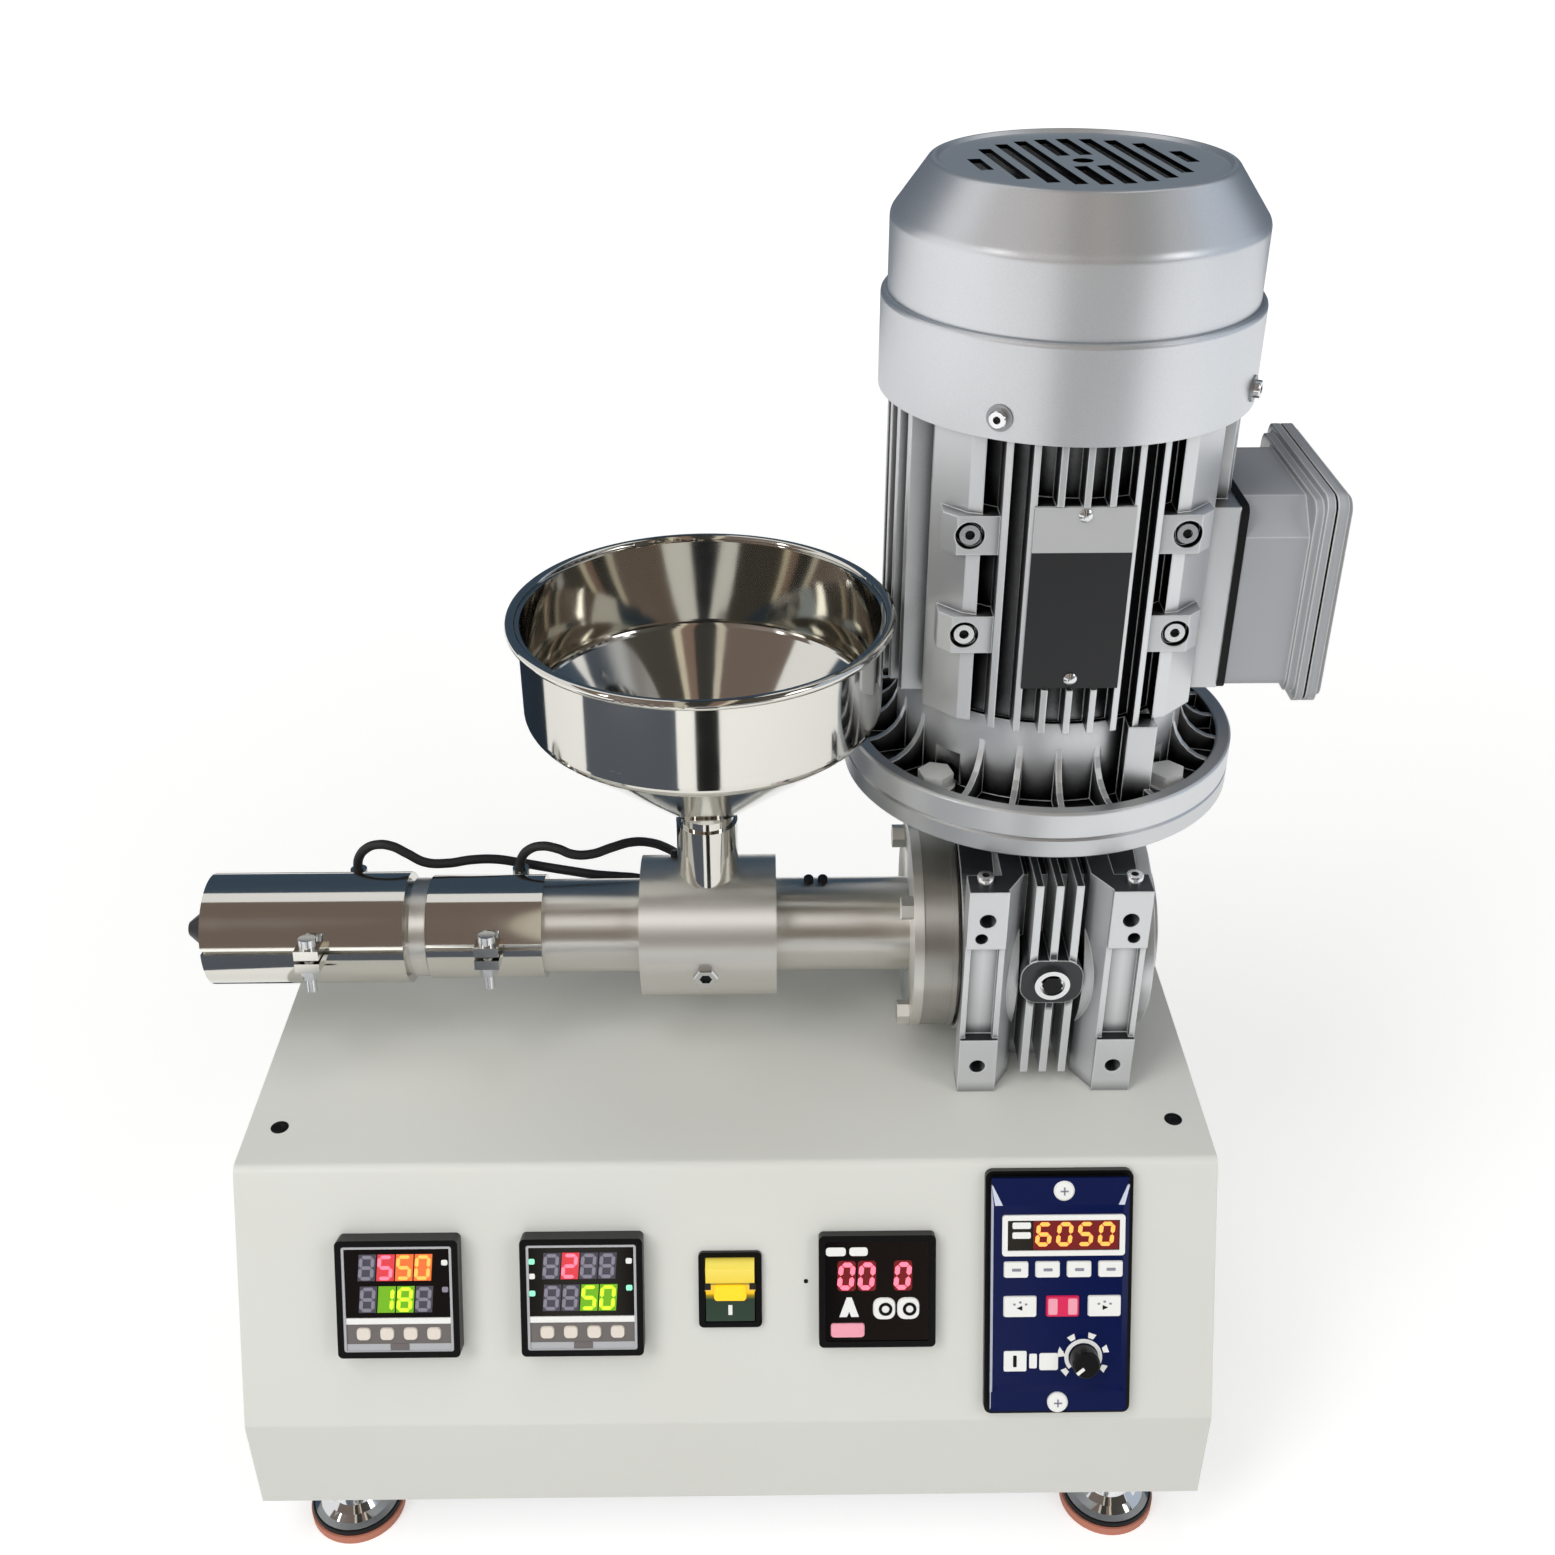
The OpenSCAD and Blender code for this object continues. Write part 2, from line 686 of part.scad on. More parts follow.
module screw_pads() {
    for (z = pad_zs) translate([0, 0, z]) difference() {
        translate([0, 0, -pad_h / 2]) linear_extrude(pad_h)
            polygon([[pad_in, 0.5 * corner_x], [pad_in, pad_seat], [pad_out - pad_chamfer, pad_seat],
                [pad_out, pad_seat - pad_chamfer], [pad_out, 0.5 * corner_x]]);
        translate([pad_screw_x, pad_seat - counterbore_h, 0]) rotate([-90, 0, 0])
            cylinder(h = counterbore_h + 1, d = counterbore_d);
    }
}

module motor_frame() {
    seat_z = box_z - frame_z - box_w / 2;
    color("silver") on_motor(frame_z) {
        difference() {
            union() {
                cylinder(h = frame_h, r = frame_core_r);
                for (turn = [0:90:270]) fin_group(turn);
                for (x = [0, 1], y = [0, 1]) mirror([x, 0, 0]) mirror([0, y, 0]) {
                    frame_corner();
                    screw_pads();
                }
            }
            translate([box_pad_r, -box_w / 2 - 1, seat_z - 1]) cube([fin_r, box_w + 2, box_w + 2]);
            translate([-plate_w / 2 - 0.5, -2 * plate_seat, plate_low - 0.5])
                cube([plate_w + 1, plate_seat, plate_h + 1]);
        }
        translate([0, -box_w / 2, seat_z]) cube([box_pad_r, box_w, box_w]);
        translate([-plate_w / 2, -plate_seat, plate_low]) cube([plate_w, plate_seat, plate_h]);
    }
}

module nameplate() {
    color("black") on_motor(frame_z + plate_low)
        translate([-plate_w / 2, -plate_seat - nameplate_t, 0]) cube([plate_w, nameplate_t, plate_h]);
}

// Rear end shield inside the fan cover, with the four lugs that the cover is screwed to
shield_h = 10;
shield_r = frame_core_r + 1;
lug_w = 14;
cover_gap = 0.2;

module motor_rear_shield() {
    lug_r = cover_r - cover_t - cover_gap;
    color("silver") on_motor(frame_top) {
        cylinder(h = shield_h, r = shield_r);
        intersection() {
            cylinder(h = shield_h, r = lug_r);
            for (a = [45, 135]) rotate(a) translate([-lug_r, -lug_w / 2, 0])
                cube([2 * lug_r, lug_w, shield_h]);
        }
    }
}

// Fan cover: a deep-drawn shell with a soft step and shoulder, and parallel slots in its sunk top disc
slot_w = 4.8;
slot_pitch = 8.3;
slot_turn = 9;
slot_field_r = 38.5;
slot_columns = 5;
slot_hub_r = 9;
hub_hole_d = 7.5;
step_r = 1.8;
shoulder_r = 6;
rim_round = 2.4;
disc_sink = 1.2;
disc_lip = 2;

// Profile of the cover's sheet, inset by t, from its lower edge to the axis
function cover_profile(t) =
    let (low = [cover_r - t, cover_z], step = [cover_r - t, cover_step_z - t],
         wall = [cover_upper_r - t, cover_step_z - t],
         shoulder = [cover_upper_r - t, cover_shoulder_z - t / 3],
         top = [cover_top_r - t / 2, cover_top_z - t], lip = [cover_top_r - disc_lip - t, cover_top_z - t],
         disc_z = cover_top_z - disc_sink - t)
    concat([low], rounded(low, step, wall, step_r, 4), [wall],
           rounded(wall, shoulder, top, shoulder_r - t, 6), rounded(shoulder, top, lip, rim_round - t / 2, 4),
           [lip, [lip[0] - disc_sink, disc_z], [0, disc_z]]);

module fan_cover() {
    outer = cover_profile(0);
    inner = cover_profile(cover_t);
    color("whitesmoke") difference() {
        on_motor(0) rotate_extrude() polygon(concat(outer, [for (i = [len(inner) - 1:-1:0]) inner[i]]));
        on_motor(cover_top_z - 4 * cover_t) rotate(slot_turn) {
            for (i = [0:slot_columns - 1], side = [-1, 1]) {
                x = side * (i + 0.5) * slot_pitch;
                half = sqrt(slot_field_r * slot_field_r - x * x);
                start = i == 0 ? slot_hub_r : -half;
                translate([x - slot_w / 2, start, 0]) cube([slot_w, half - start, 6 * cover_t]);
                if (i == 0) translate([x - slot_w / 2, -half, 0]) cube([slot_w, half - start, 6 * cover_t]);
            }
            cylinder(h = 6 * cover_t, d = hub_hole_d);
        }
    }
}

// Fan on the motor's shaft, seen through the slots
fan_shaft_d = 14;
fan_lift = 4;
fan_h = 24;
fan_disc_t = 3;
fan_blade_t = 2.4;
hub_r = 18;
blade_r = cover_upper_r - 9.5;
disc_r = blade_r - 6;
fan_blades = 8;

module cooling_fan() {
    fan_z = frame_top + shield_h + fan_lift;
    color("dimgray") on_motor(0) {
        translate([0, 0, frame_top + shield_h]) cylinder(h = fan_lift + fan_disc_t, d = fan_shaft_d);
        translate([0, 0, fan_z]) cylinder(h = fan_disc_t, r = disc_r);
        translate([0, 0, fan_z]) cylinder(h = fan_h, r = hub_r);
        for (i = [0:fan_blades - 1]) rotate(i * 360 / fan_blades)
            translate([hub_r - 1, -fan_blade_t / 2, fan_z]) cube([blade_r - hub_r, fan_blade_t, fan_h]);
    }
}

// Terminal box on the motor's right side: a moulded body with slanted upper edges, a stepped flange and a lid
box_chamfer = 12;
box_corner_r = 4;
lid_corner_r = 6;
flange_t = 3;
flange_step = 3;
gasket_in = 1.2;
lid_bevel = 2;

module boxed(x, l, w, r) {
    translate([x, motor_y, box_z]) rotate([90, 0, 90]) linear_extrude(l) rounded_rectangle(w, w, r);
}

module terminal_box() {
    box_x = gear_x + box_pad_r;
    box_l = lid_x - lid_t - gasket_t - box_x;
    half = box_w / 2;
    color("slategray") {
        difference() {
            boxed(box_x, box_l, box_w, box_corner_r);
            for (side = [-1, 1]) translate([box_x, motor_y + side * half, box_z + half]) rotate([45, 0, 0])
                translate([-eps, -box_chamfer / sqrt(2), -box_chamfer / sqrt(2)])
                    cube([box_l - 2 * flange_t, box_chamfer * sqrt(2), box_chamfer * sqrt(2)]);
        }
        boxed(box_x + box_l - 2 * flange_t, 2 * flange_t, lid_w - 2 * flange_step, lid_corner_r);
        boxed(box_x + box_l - flange_t, flange_t, lid_w, lid_corner_r);
        boxed(box_x + box_l - eps, gasket_t + eps, lid_w - 2 * gasket_in, lid_corner_r);
    }
}

module terminal_lid() {
    color("slategray") {
        boxed(lid_x - lid_t, lid_t - lid_bevel, lid_w, lid_corner_r);
        boxed(lid_x - lid_bevel - eps, lid_bevel + eps, lid_w - 2 * lid_bevel, lid_corner_r - 1);
    }
}

// Barrel and feed collar
throat_d = 18;

module barrel() {
    color("silver") difference() {
        along_barrel(barrel_end, plate_x, barrel_d);
        along_barrel(barrel_end - eps, plate_x + eps, bore_d);
        translate([collar_x, shaft_y, shaft_z]) cylinder(h = barrel_d, d = throat_d);
    }
}

module feed_collar() {
    color("silver") difference() {
        along_barrel(collar_x - collar_l / 2, collar_x + collar_l / 2, collar_d);
        along_barrel(collar_x - collar_l, collar_x + collar_l, barrel_d);
        translate([collar_x, shaft_y, shaft_z]) cylinder(h = collar_d, d = sleeve_d);
    }
}

// Hopper: a rolled wall with a beaded rim, a spun cone welded under it, and the tube in its sleeve
tube_seat = 10;
tube_gap = 0.1;
tube_r = tube_d / 2;
bowl_r = bowl_d / 2;
rim_r = 2;
rim_edge = rim_d / 2 - rim_r;
bowl_corner_r = 6;
weld_z = bowl_z + bowl_corner_r;
cone_side = norm([bowl_r - tube_r, cone_h]);
cone_lift = bowl_t * (cone_side - cone_h) / (bowl_r - tube_r);

module on_throat() {
    translate([collar_x, shaft_y, 0]) children();
}

module hopper_bowl() {
    color("silver") on_throat() {
        rotate_extrude() polygon([[bowl_r - bowl_t, weld_z], [bowl_r, weld_z],
            [bowl_r, hopper_z - rim_r - bowl_t], [rim_edge, hopper_z - rim_r - bowl_t],
            [rim_edge, hopper_z - rim_r], [bowl_r - bowl_t, hopper_z - rim_r]]);
        translate([0, 0, hopper_z - rim_r]) rotate_extrude() translate([rim_edge, 0]) circle(rim_r);
    }
}

module hopper_cone() {
    inner_r = bowl_r - bowl_t;
    throat_r = tube_r - bowl_t;
    color("silver") on_throat() rotate_extrude() polygon(concat(
        [[inner_r, weld_z], [bowl_r, weld_z]],
        rounded([bowl_r, hopper_z], [bowl_r, bowl_z], [tube_r, throat_z], bowl_corner_r),
        [[tube_r, throat_z], [throat_r, throat_z], [throat_r, throat_z + cone_lift]],
        rounded([throat_r, throat_z + cone_lift], [inner_r, bowl_z + cone_lift], [inner_r, hopper_z],
            bowl_corner_r - bowl_t)));
}

module hopper_tube() {
    tube_low = sleeve_top - tube_seat;
    color("silver") on_throat() translate([0, 0, tube_low]) difference() {
        cylinder(h = throat_z - tube_low, r = tube_r);
        translate([0, 0, -eps]) cylinder(h = throat_z - tube_low + 2 * eps, r = tube_r - bowl_t);
    }
}

module hopper_sleeve() {
    color("silver") on_throat() difference() {
        translate([0, 0, sleeve_seat]) cylinder(h = sleeve_top - sleeve_seat, d = sleeve_d);
        translate([0, 0, sleeve_seat - eps]) cylinder(h = sleeve_top - sleeve_seat + 1, d = throat_d);
        translate([0, 0, sleeve_top - tube_seat]) cylinder(h = tube_seat + 1, d = tube_d + 2 * tube_gap);
    }
}

// Band heaters: each is split along its front and drawn together by a screw through two lugs
seam_tilt = -10;
clamp_at = 0.55;
seam_w = 1.6;
lug_t = 4;
lug_l = 10;
lug_out = 9;
clamp_d = 4;
clamp_gap = 0.3;
clamp_l = 30;
terminal_d = 7;
terminal_top = 17.5;
lead_dy = 18;

module at_seam(x) {
    translate([x, shaft_y, shaft_z]) rotate([seam_tilt, 0, 0]) children();
}

module band_heater(x, l, d, terminal_x) {
    difference() {
        union() {
            along_barrel(x, x + l, d);
            translate([terminal_x, shaft_y + lead_dy, shaft_z]) cylinder(h = terminal_top, d = terminal_d);
            at_seam(x + clamp_at * l) translate([-lug_l / 2, -d / 2 - lug_out, -seam_w / 2 - lug_t])
                cube([lug_l, d / 2 + lug_out, seam_w + 2 * lug_t]);
        }
        along_barrel(x - eps, x + l + eps, barrel_d);
        at_seam(x) translate([-eps, -d / 2 - lug_out - 1, -seam_w / 2])
            cube([l + 2 * eps, d / 2 + lug_out + 1, seam_w]);
        at_seam(x + clamp_at * l) translate([0, -d / 2 - lug_out / 2, -clamp_l / 2])
            cylinder(h = clamp_l, d = clamp_d + 2 * clamp_gap);
    }
}

module heater_front() {
    color("silver") band_heater(heater_1_x, heater_1_l, heater_1_d, lead_1_x);
}

module heater_rear() {
    color("silver") band_heater(heater_2_x, heater_2_l, heater_2_d, lead_2_x);
}

module clamp(x, d) {
    head_z = seam_w / 2 + lug_t;
    at_seam(x) translate([0, -d / 2 - lug_out / 2, 0]) {
        translate([0, 0, -clamp_l / 2]) cylinder(h = clamp_l / 2 + head_z, d = clamp_d);
        translate([0, 0, head_z]) cylinder(h = clamp_d, d = 1.8 * clamp_d);
        translate([0, 0, -head_z - clamp_d]) cylinder(h = clamp_d, d = 1.9 * clamp_d, $fn = 6);
    }
}

module heater_clamps() {
    color("silver") {
        clamp(heater_1_x + clamp_at * heater_1_l, heater_1_d);
        clamp(heater_2_x + clamp_at * heater_2_l, heater_2_d);
    }
}

module barrel_ring() {
    color("silver") difference() {
        along_barrel(ring_x + 2, ring_x + ring_w - 0.5, barrel_d + 2);
        along_barrel(ring_x - 1, ring_x + ring_w + 1, barrel_d);
    }
}

module nozzle() {
    color("dimgray") difference() {
        translate([nozzle_tip, shaft_y, shaft_z]) rotate([0, 90, 0])
            cylinder(h = nozzle_l, d1 = 2 * outlet_d, d2 = nozzle_d);
        along_barrel(nozzle_tip - 1, nozzle_tip + 4, outlet_d);
        translate([nozzle_tip + 4 - eps, shaft_y, shaft_z]) rotate([0, 90, 0])
            cylinder(h = nozzle_l - 4 + 2 * eps, d1 = outlet_d, d2 = bore_d / 2);
    }
}

// Heater leads: routes from the terminals over the barrel to the glands behind the collar
lead_d = 4;
lead_1_x = -157;
lead_2_x = -88;
gland_y = 135;
gland_xs = [-28, -6];
gland_top = 14;
gland_thread_d = 10;
front_route = [[-157.4, 108.6, 241.5], [-156.2, 108.4, 247.1], [-152.6, 107.8, 252.1],
    [-147.2, 107, 254.8], [-141, 106.3, 254.4], [-135, 106, 250.9], [-127.8, 106.2, 246.2],
    [-119, 108, 244.4], [-109, 110.8, 244.2], [-99.5, 113.8, 242.4], [-90, 115.4, 239.6],
    [-79, 115.4, 237.2], [-67, 114.2, 235.6], [-57, 114.6, 233.4], [-48, 117.6, 230.4],
    [-40, 122.6, 226], [-33.8, 128.2, 219.6], [-29.8, 132.6, 210.6], [-28.2, 134.6, 201],
    [-28, 135, 188]];
rear_route = [[-88.4, 108.6, 241.5], [-87.2, 108.3, 246.7], [-83.7, 107.5, 251.3],
    [-78.2, 106.4, 253.8], [-71.6, 105.4, 253.2], [-64.8, 104.4, 250.8], [-57, 106.4, 249.6],
    [-49, 110.6, 250], [-41.5, 116.2, 248.9], [-34.2, 122, 245], [-27, 127, 238.8],
    [-20.2, 130.8, 230.8], [-14.2, 133.3, 221.5], [-9.4, 134.6, 211.5], [-6.8, 135, 201],
    [-6, 135, 188]];
lead_sides = 8;

module cable_glands() {
    color("black") for (x = gland_xs) translate([x, gland_y, top_z]) {
        cylinder(h = 5, d = 16, $fn = 6);
        translate([0, 0, 5 - eps]) cylinder(h = gland_top - 5 + eps, d1 = 14, d2 = lead_d + 4);
        translate([0, 0, -8]) cylinder(h = 8 + eps, d = gland_thread_d);
    }
}

// A tube of even thickness swept along a route
function along(route, i) = unit(route[min(i + 1, len(route) - 1)] - route[max(i - 1, 0)]);
function sideways(t) = unit(cross(t, abs(t[1]) < 0.9 ? [0, 1, 0] : [1, 0, 0]));

module swept_lead(route) {
    n = len(route);
    step = 360 / lead_sides;
    rings = [for (i = [0:n - 1]) let (t = along(route, i), u = sideways(t), v = cross(t, u))
        for (k = [0:lead_sides - 1]) route[i] + lead_d / 2 * (u * cos(k * step) + v * sin(k * step))];
    walls = [for (i = [0:n - 2], k = [0:lead_sides - 1]) let (a = i * lead_sides, b = (k + 1) % lead_sides)
        [a + k, a + b, a + lead_sides + b, a + lead_sides + k]];
    start = [for (k = [0:lead_sides - 1]) lead_sides - 1 - k];
    finish = [for (k = [0:lead_sides - 1]) (n - 1) * lead_sides + k];
    polyhedron(rings, concat([start], walls, [finish]));
}

module heater_lead_front() {
    color("black") swept_lead(front_route);
}

module heater_lead_rear() {
    color("black") swept_lead(rear_route);
}

placed() cabinet_shell();
placed() side_panel(-half_w);  // left_side_panel
placed() side_panel(half_w - sheet_t);  // right_side_panel
placed() bottom_plate();
placed() foot(foot_xs[0], foot_ys[0]);  // foot_front_left
placed() foot(foot_xs[1], foot_ys[0]);  // foot_front_right
placed() foot(foot_xs[0], foot_ys[1]);  // foot_rear_left
placed() foot(foot_xs[1], foot_ys[1]);  // foot_rear_right
placed() foot_pads();
placed() controller(controller_1_x);  // controller_left
placed() controller(controller_2_x);  // controller_right
placed() switch_frame();
placed() switch_rocker();
placed() panel_meter();
placed() speed_controller();
placed() speed_knob();
placed() gearbox_housing();
placed() oil_plug();
placed() gearbox_cover();
placed() output_spacer();
placed() barrel_flange();
placed() gearbox_flange();
placed() motor_end_shield();
placed() flange_bolts();
placed() motor_frame();
placed() nameplate();
placed() motor_rear_shield();
placed() fan_cover();
placed() cooling_fan();
placed() terminal_box();
placed() terminal_lid();
placed() barrel();
placed() feed_collar();
placed() hopper_bowl();
placed() hopper_cone();
placed() hopper_tube();
placed() hopper_sleeve();
placed() heater_front();
placed() heater_rear();
placed() heater_clamps();
placed() barrel_ring();
placed() nozzle();
placed() cable_glands();
placed() heater_lead_front();
placed() heater_lead_rear();
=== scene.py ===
"""Looks of a bench-top filament extruder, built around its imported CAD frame."""
import math

import bmesh
import bpy
from mathutils import Matrix, Vector


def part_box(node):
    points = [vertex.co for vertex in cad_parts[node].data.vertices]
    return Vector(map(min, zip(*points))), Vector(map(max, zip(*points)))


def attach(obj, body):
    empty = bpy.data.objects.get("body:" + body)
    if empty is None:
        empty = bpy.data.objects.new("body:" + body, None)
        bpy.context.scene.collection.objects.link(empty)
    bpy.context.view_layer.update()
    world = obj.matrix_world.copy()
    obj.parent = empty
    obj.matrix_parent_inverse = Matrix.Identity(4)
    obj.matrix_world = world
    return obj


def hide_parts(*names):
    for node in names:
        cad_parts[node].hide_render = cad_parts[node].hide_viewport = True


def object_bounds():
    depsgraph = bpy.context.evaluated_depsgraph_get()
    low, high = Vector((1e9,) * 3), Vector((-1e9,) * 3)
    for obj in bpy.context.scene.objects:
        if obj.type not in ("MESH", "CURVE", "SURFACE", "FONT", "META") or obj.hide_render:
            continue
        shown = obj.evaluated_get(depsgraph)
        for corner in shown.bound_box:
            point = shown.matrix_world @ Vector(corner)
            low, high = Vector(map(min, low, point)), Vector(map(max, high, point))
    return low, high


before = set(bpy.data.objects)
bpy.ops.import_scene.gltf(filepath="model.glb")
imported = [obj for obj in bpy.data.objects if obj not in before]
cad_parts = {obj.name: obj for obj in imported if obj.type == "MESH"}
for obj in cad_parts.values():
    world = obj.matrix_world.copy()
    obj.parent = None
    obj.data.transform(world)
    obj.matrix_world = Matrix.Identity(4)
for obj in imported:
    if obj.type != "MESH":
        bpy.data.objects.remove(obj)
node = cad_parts
cad_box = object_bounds()
scene = bpy.context.scene
MM = 0.001


# Cabinet
# A folded cover of 1.5 mm sheet steel with two side panels, powder coated in a light warm grey, over a
# zinc-plated bottom plate. Black countersunk screws hold the cover near the corners of its top.
def linear(hex_colour):
    """An sRGB hex colour as the linear numbers that a shader takes."""
    parts = [int(hex_colour[i:i + 2], 16) / 255 for i in (1, 3, 5)]
    return [p / 12.92 if p <= 0.04045 else ((p + 0.055) / 1.055) ** 2.4 for p in parts] + [1.0]


def add(tree, kind, inputs=None, **settings):
    """Adds a shader node: settings are its properties, inputs its sockets' values or links."""
    made = tree.nodes.new(kind)
    for name, value in settings.items():
        setattr(made, name, value)
    for name, value in (inputs or {}).items():
        if isinstance(value, bpy.types.NodeSocket):
            tree.links.new(value, made.inputs[name])
        else:
            made.inputs[name].default_value = value
    return made


def new_finish(name, colour, roughness, metallic=0.0, ior=1.5):
    """A material of one colour, its tree and shader, and the frame's own coordinates in metres."""
    material = bpy.data.materials.new(name)
    material.use_nodes = True
    tree = material.node_tree
    shader = tree.nodes["Principled BSDF"]
    shader.inputs["Base Color"].default_value = linear(colour)
    shader.inputs["Roughness"].default_value = roughness
    shader.inputs["Metallic"].default_value = metallic
    shader.inputs["IOR"].default_value = ior
    place = add(tree, "ShaderNodeTexCoord").outputs["Object"]
    return material, tree, shader, place


def roughen(tree, shader, place, width, depth, strength, detail, normal=None):
    """Gives a skin bumps of one width and depth in metres over a softened normal; returns their height."""
    bumps = add(tree, "ShaderNodeTexNoise", {"Vector": place, "Scale": 1 / width, "Detail": detail})
    inputs = {"Height": bumps.outputs["Fac"], "Strength": strength, "Distance": depth}
    if normal is not None:
        inputs["Normal"] = normal
    skin = add(tree, "ShaderNodeBump", inputs)
    tree.links.new(skin.outputs["Normal"], shader.inputs["Normal"])
    return bumps.outputs["Fac"]


def dress(material, *names):
    """Gives the named CAD nodes one finish."""
    for name in names:
        mesh = node[name].data
        mesh.materials.clear()
        mesh.materials.append(material)


def put_turned(bm, profile, centre, axis, sides=32):
    """Turns (radius, height) points in millimetres about an axis; a profile off it closes on itself."""
    turn = Matrix.Translation(centre) @ Vector(axis).to_track_quat("Z", "Y").to_matrix().to_4x4()
    rings = []
    for radius, height in profile:
        angles = [2 * math.pi * i / sides for i in range(sides if radius else 1)]
        points = [Vector((radius * math.cos(a), radius * math.sin(a), height)) * MM for a in angles]
        rings.append([bm.verts.new(turn @ point) for point in points])
    closing = rings[1:] if profile[0][0] == 0 else rings[1:] + rings[:1]
    for low, high in zip(rings, closing):
        for i in range(sides):
            corners = [low[i % len(low)], low[(i + 1) % len(low)],
                       high[(i + 1) % len(high)], high[i % len(high)]]
            bm.faces.new(list(dict.fromkeys(corners)))


def make_piece(name, bm, finish, body="machine"):
    """Turns a mesh into a piece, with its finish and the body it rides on."""
    bmesh.ops.recalc_face_normals(bm, faces=bm.faces)
    mesh = bpy.data.meshes.new(name)
    bm.to_mesh(mesh)
    bm.free()
    mesh.materials.append(finish)
    mesh.shade_smooth()
    mesh.set_sharp_from_angle(angle=math.radians(35))
    piece = bpy.data.objects.new(name, mesh)
    scene.collection.objects.link(piece)
    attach(piece, body)
    return piece


# Powder coat: fused polyester powder, satin, with an orange-peel skin about 1 mm across and a faint drift
# of tone
powder_coat, tree, shader, place = new_finish("powder_coat_warm_grey", "#DCDCD6", 0.42)
drift = add(tree, "ShaderNodeTexNoise", {"Vector": place, "Scale": 1 / (90 * MM), "Detail": 2.0})
tint = add(tree, "ShaderNodeMix", {"Factor": drift.outputs["Fac"], "A": linear("#D9D9D2"),
                                   "B": linear("#DFDFDA")}, data_type="RGBA")
tree.links.new(tint.outputs["Result"], shader.inputs["Base Color"])
roughen(tree, shader, place, 1.1 * MM, 0.1 * MM, 0.1, 2.0)
dress(powder_coat, "cabinet_shell", "left_side_panel", "right_side_panel")
# Zinc-plated sheet: dull grey metal
zinc = new_finish("zinc_plated_sheet", "#A9ABAD", 0.45, metallic=1.0)[0]
dress(zinc, "bottom_plate")
# Blackened steel: black screws, nearly black with a dull shine, and black hexagons of painted shade in
# sockets
black_steel_and_socket_shade = new_finish("blackened_steel_and_socket_shade", "#141416", 0.38, metallic=0.6)[0]

shell_low, shell_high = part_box("cabinet_shell")
PANEL_OUT, PANEL_DROP = 44 * MM, 98 * MM
top_front = shell_low.y + PANEL_OUT
middle_x = (shell_low.x + shell_high.x) / 2
TOP_SCREW_IN, TOP_SCREW_R, DRIVE_R = 23 * MM, 3.6, 1.2
TOP_SCREW = [(0, 0.05), (DRIVE_R, 0.05), (DRIVE_R + 0.4, 0.35), (TOP_SCREW_R - 0.5, 0.4), (TOP_SCREW_R, 0.1),
             (TOP_SCREW_R, -0.5), (0, -0.5)]
bm = bmesh.new()
for x in (shell_low.x + TOP_SCREW_IN / 2, shell_high.x - TOP_SCREW_IN / 2):
    for y in (top_front + TOP_SCREW_IN, shell_high.y - TOP_SCREW_IN):
        put_turned(bm, TOP_SCREW, (x, y, shell_high.z), (0, 0, 1), 24)
make_piece("cover_screws", bm, black_steel_and_socket_shade)


# Levelling feet
# Turned steel feet with a flared and chromed skirt on a threaded stem, locked by a nut. Each stands on a
# salmon-coloured rubber pad and has a black rubber ring pressed round its rim.
FEET = ("foot_front_left", "foot_front_right", "foot_rear_left", "foot_rear_right")
# Chrome: a mirror that shows the pale floor and the dark underside of the cabinet
chrome = new_finish("chrome_plate", "#D9DADB", 0.06, metallic=1.0)[0]
dress(chrome, *FEET)
# Salmon rubber: matt, warm, with no sheen
salmon_rubber = new_finish("salmon_rubber", "#C77F68", 0.6)[0]
dress(salmon_rubber, "foot_pads")
# Black rubber: matt, with a faint shine on its round edge
black_rubber_and_hole_shade, tree, shader, place = new_finish("black_rubber_and_hole_shade", "#08080A", 0.5)
shader.inputs["Specular IOR Level"].default_value = 0.25
PAD_TOP, RING_T, RING_OUT, RING_GRIP = 4, 2.6, 0.9, 0.3
bm = bmesh.new()
for name in FEET:
    low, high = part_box(name)
    middle = Vector(((low.x + high.x) / 2, (low.y + high.y) / 2, PAD_TOP * MM))
    rim = (high.x - low.x) / 2 / MM
    put_turned(bm, [(rim - RING_GRIP, 0), (rim + 0.6 * RING_OUT, 0), (rim + RING_OUT, RING_T / 2),
                    (rim + 0.5 * RING_OUT, RING_T), (rim - RING_GRIP, RING_T)], middle, (0, 0, 1), 48)
make_piece("foot_rings", bm, black_rubber_and_hole_shade)


# Temperature controllers
# Two panel instruments in moulded black cases, each with a grey inner frame, a dark display window with
# red figures over green ones, a white rule and a strip of four small keys. They are clipped into the panel.
panel_slope = math.atan2(PANEL_OUT, PANEL_DROP)
panel = (Matrix.Translation((middle_x, top_front, shell_high.z))
         @ Matrix.Rotation(math.pi / 2 - panel_slope, 4, "X"))
panel_normal = panel.to_3x3() @ Vector((0, 0, 1))


def on_panel(x, s, h):
    """A point in millimetres on the sloping panel: x across, s down, h out of its face."""
    return panel @ Vector((x * MM, -s * MM, h * MM))


gathered = {}


def mesh_of(finish):
    """The mesh that gathers the shapes of one finish until they are made into a piece."""
    if finish not in gathered:
        gathered[finish] = bmesh.new()
    return gathered[finish]


def make_pieces(prefix):
    """Makes one piece of each finish that was gathered, named for it."""
    for finish, bm in gathered.items():
        make_piece(f"{prefix}_{finish.name}", bm, finish)
    gathered.clear()


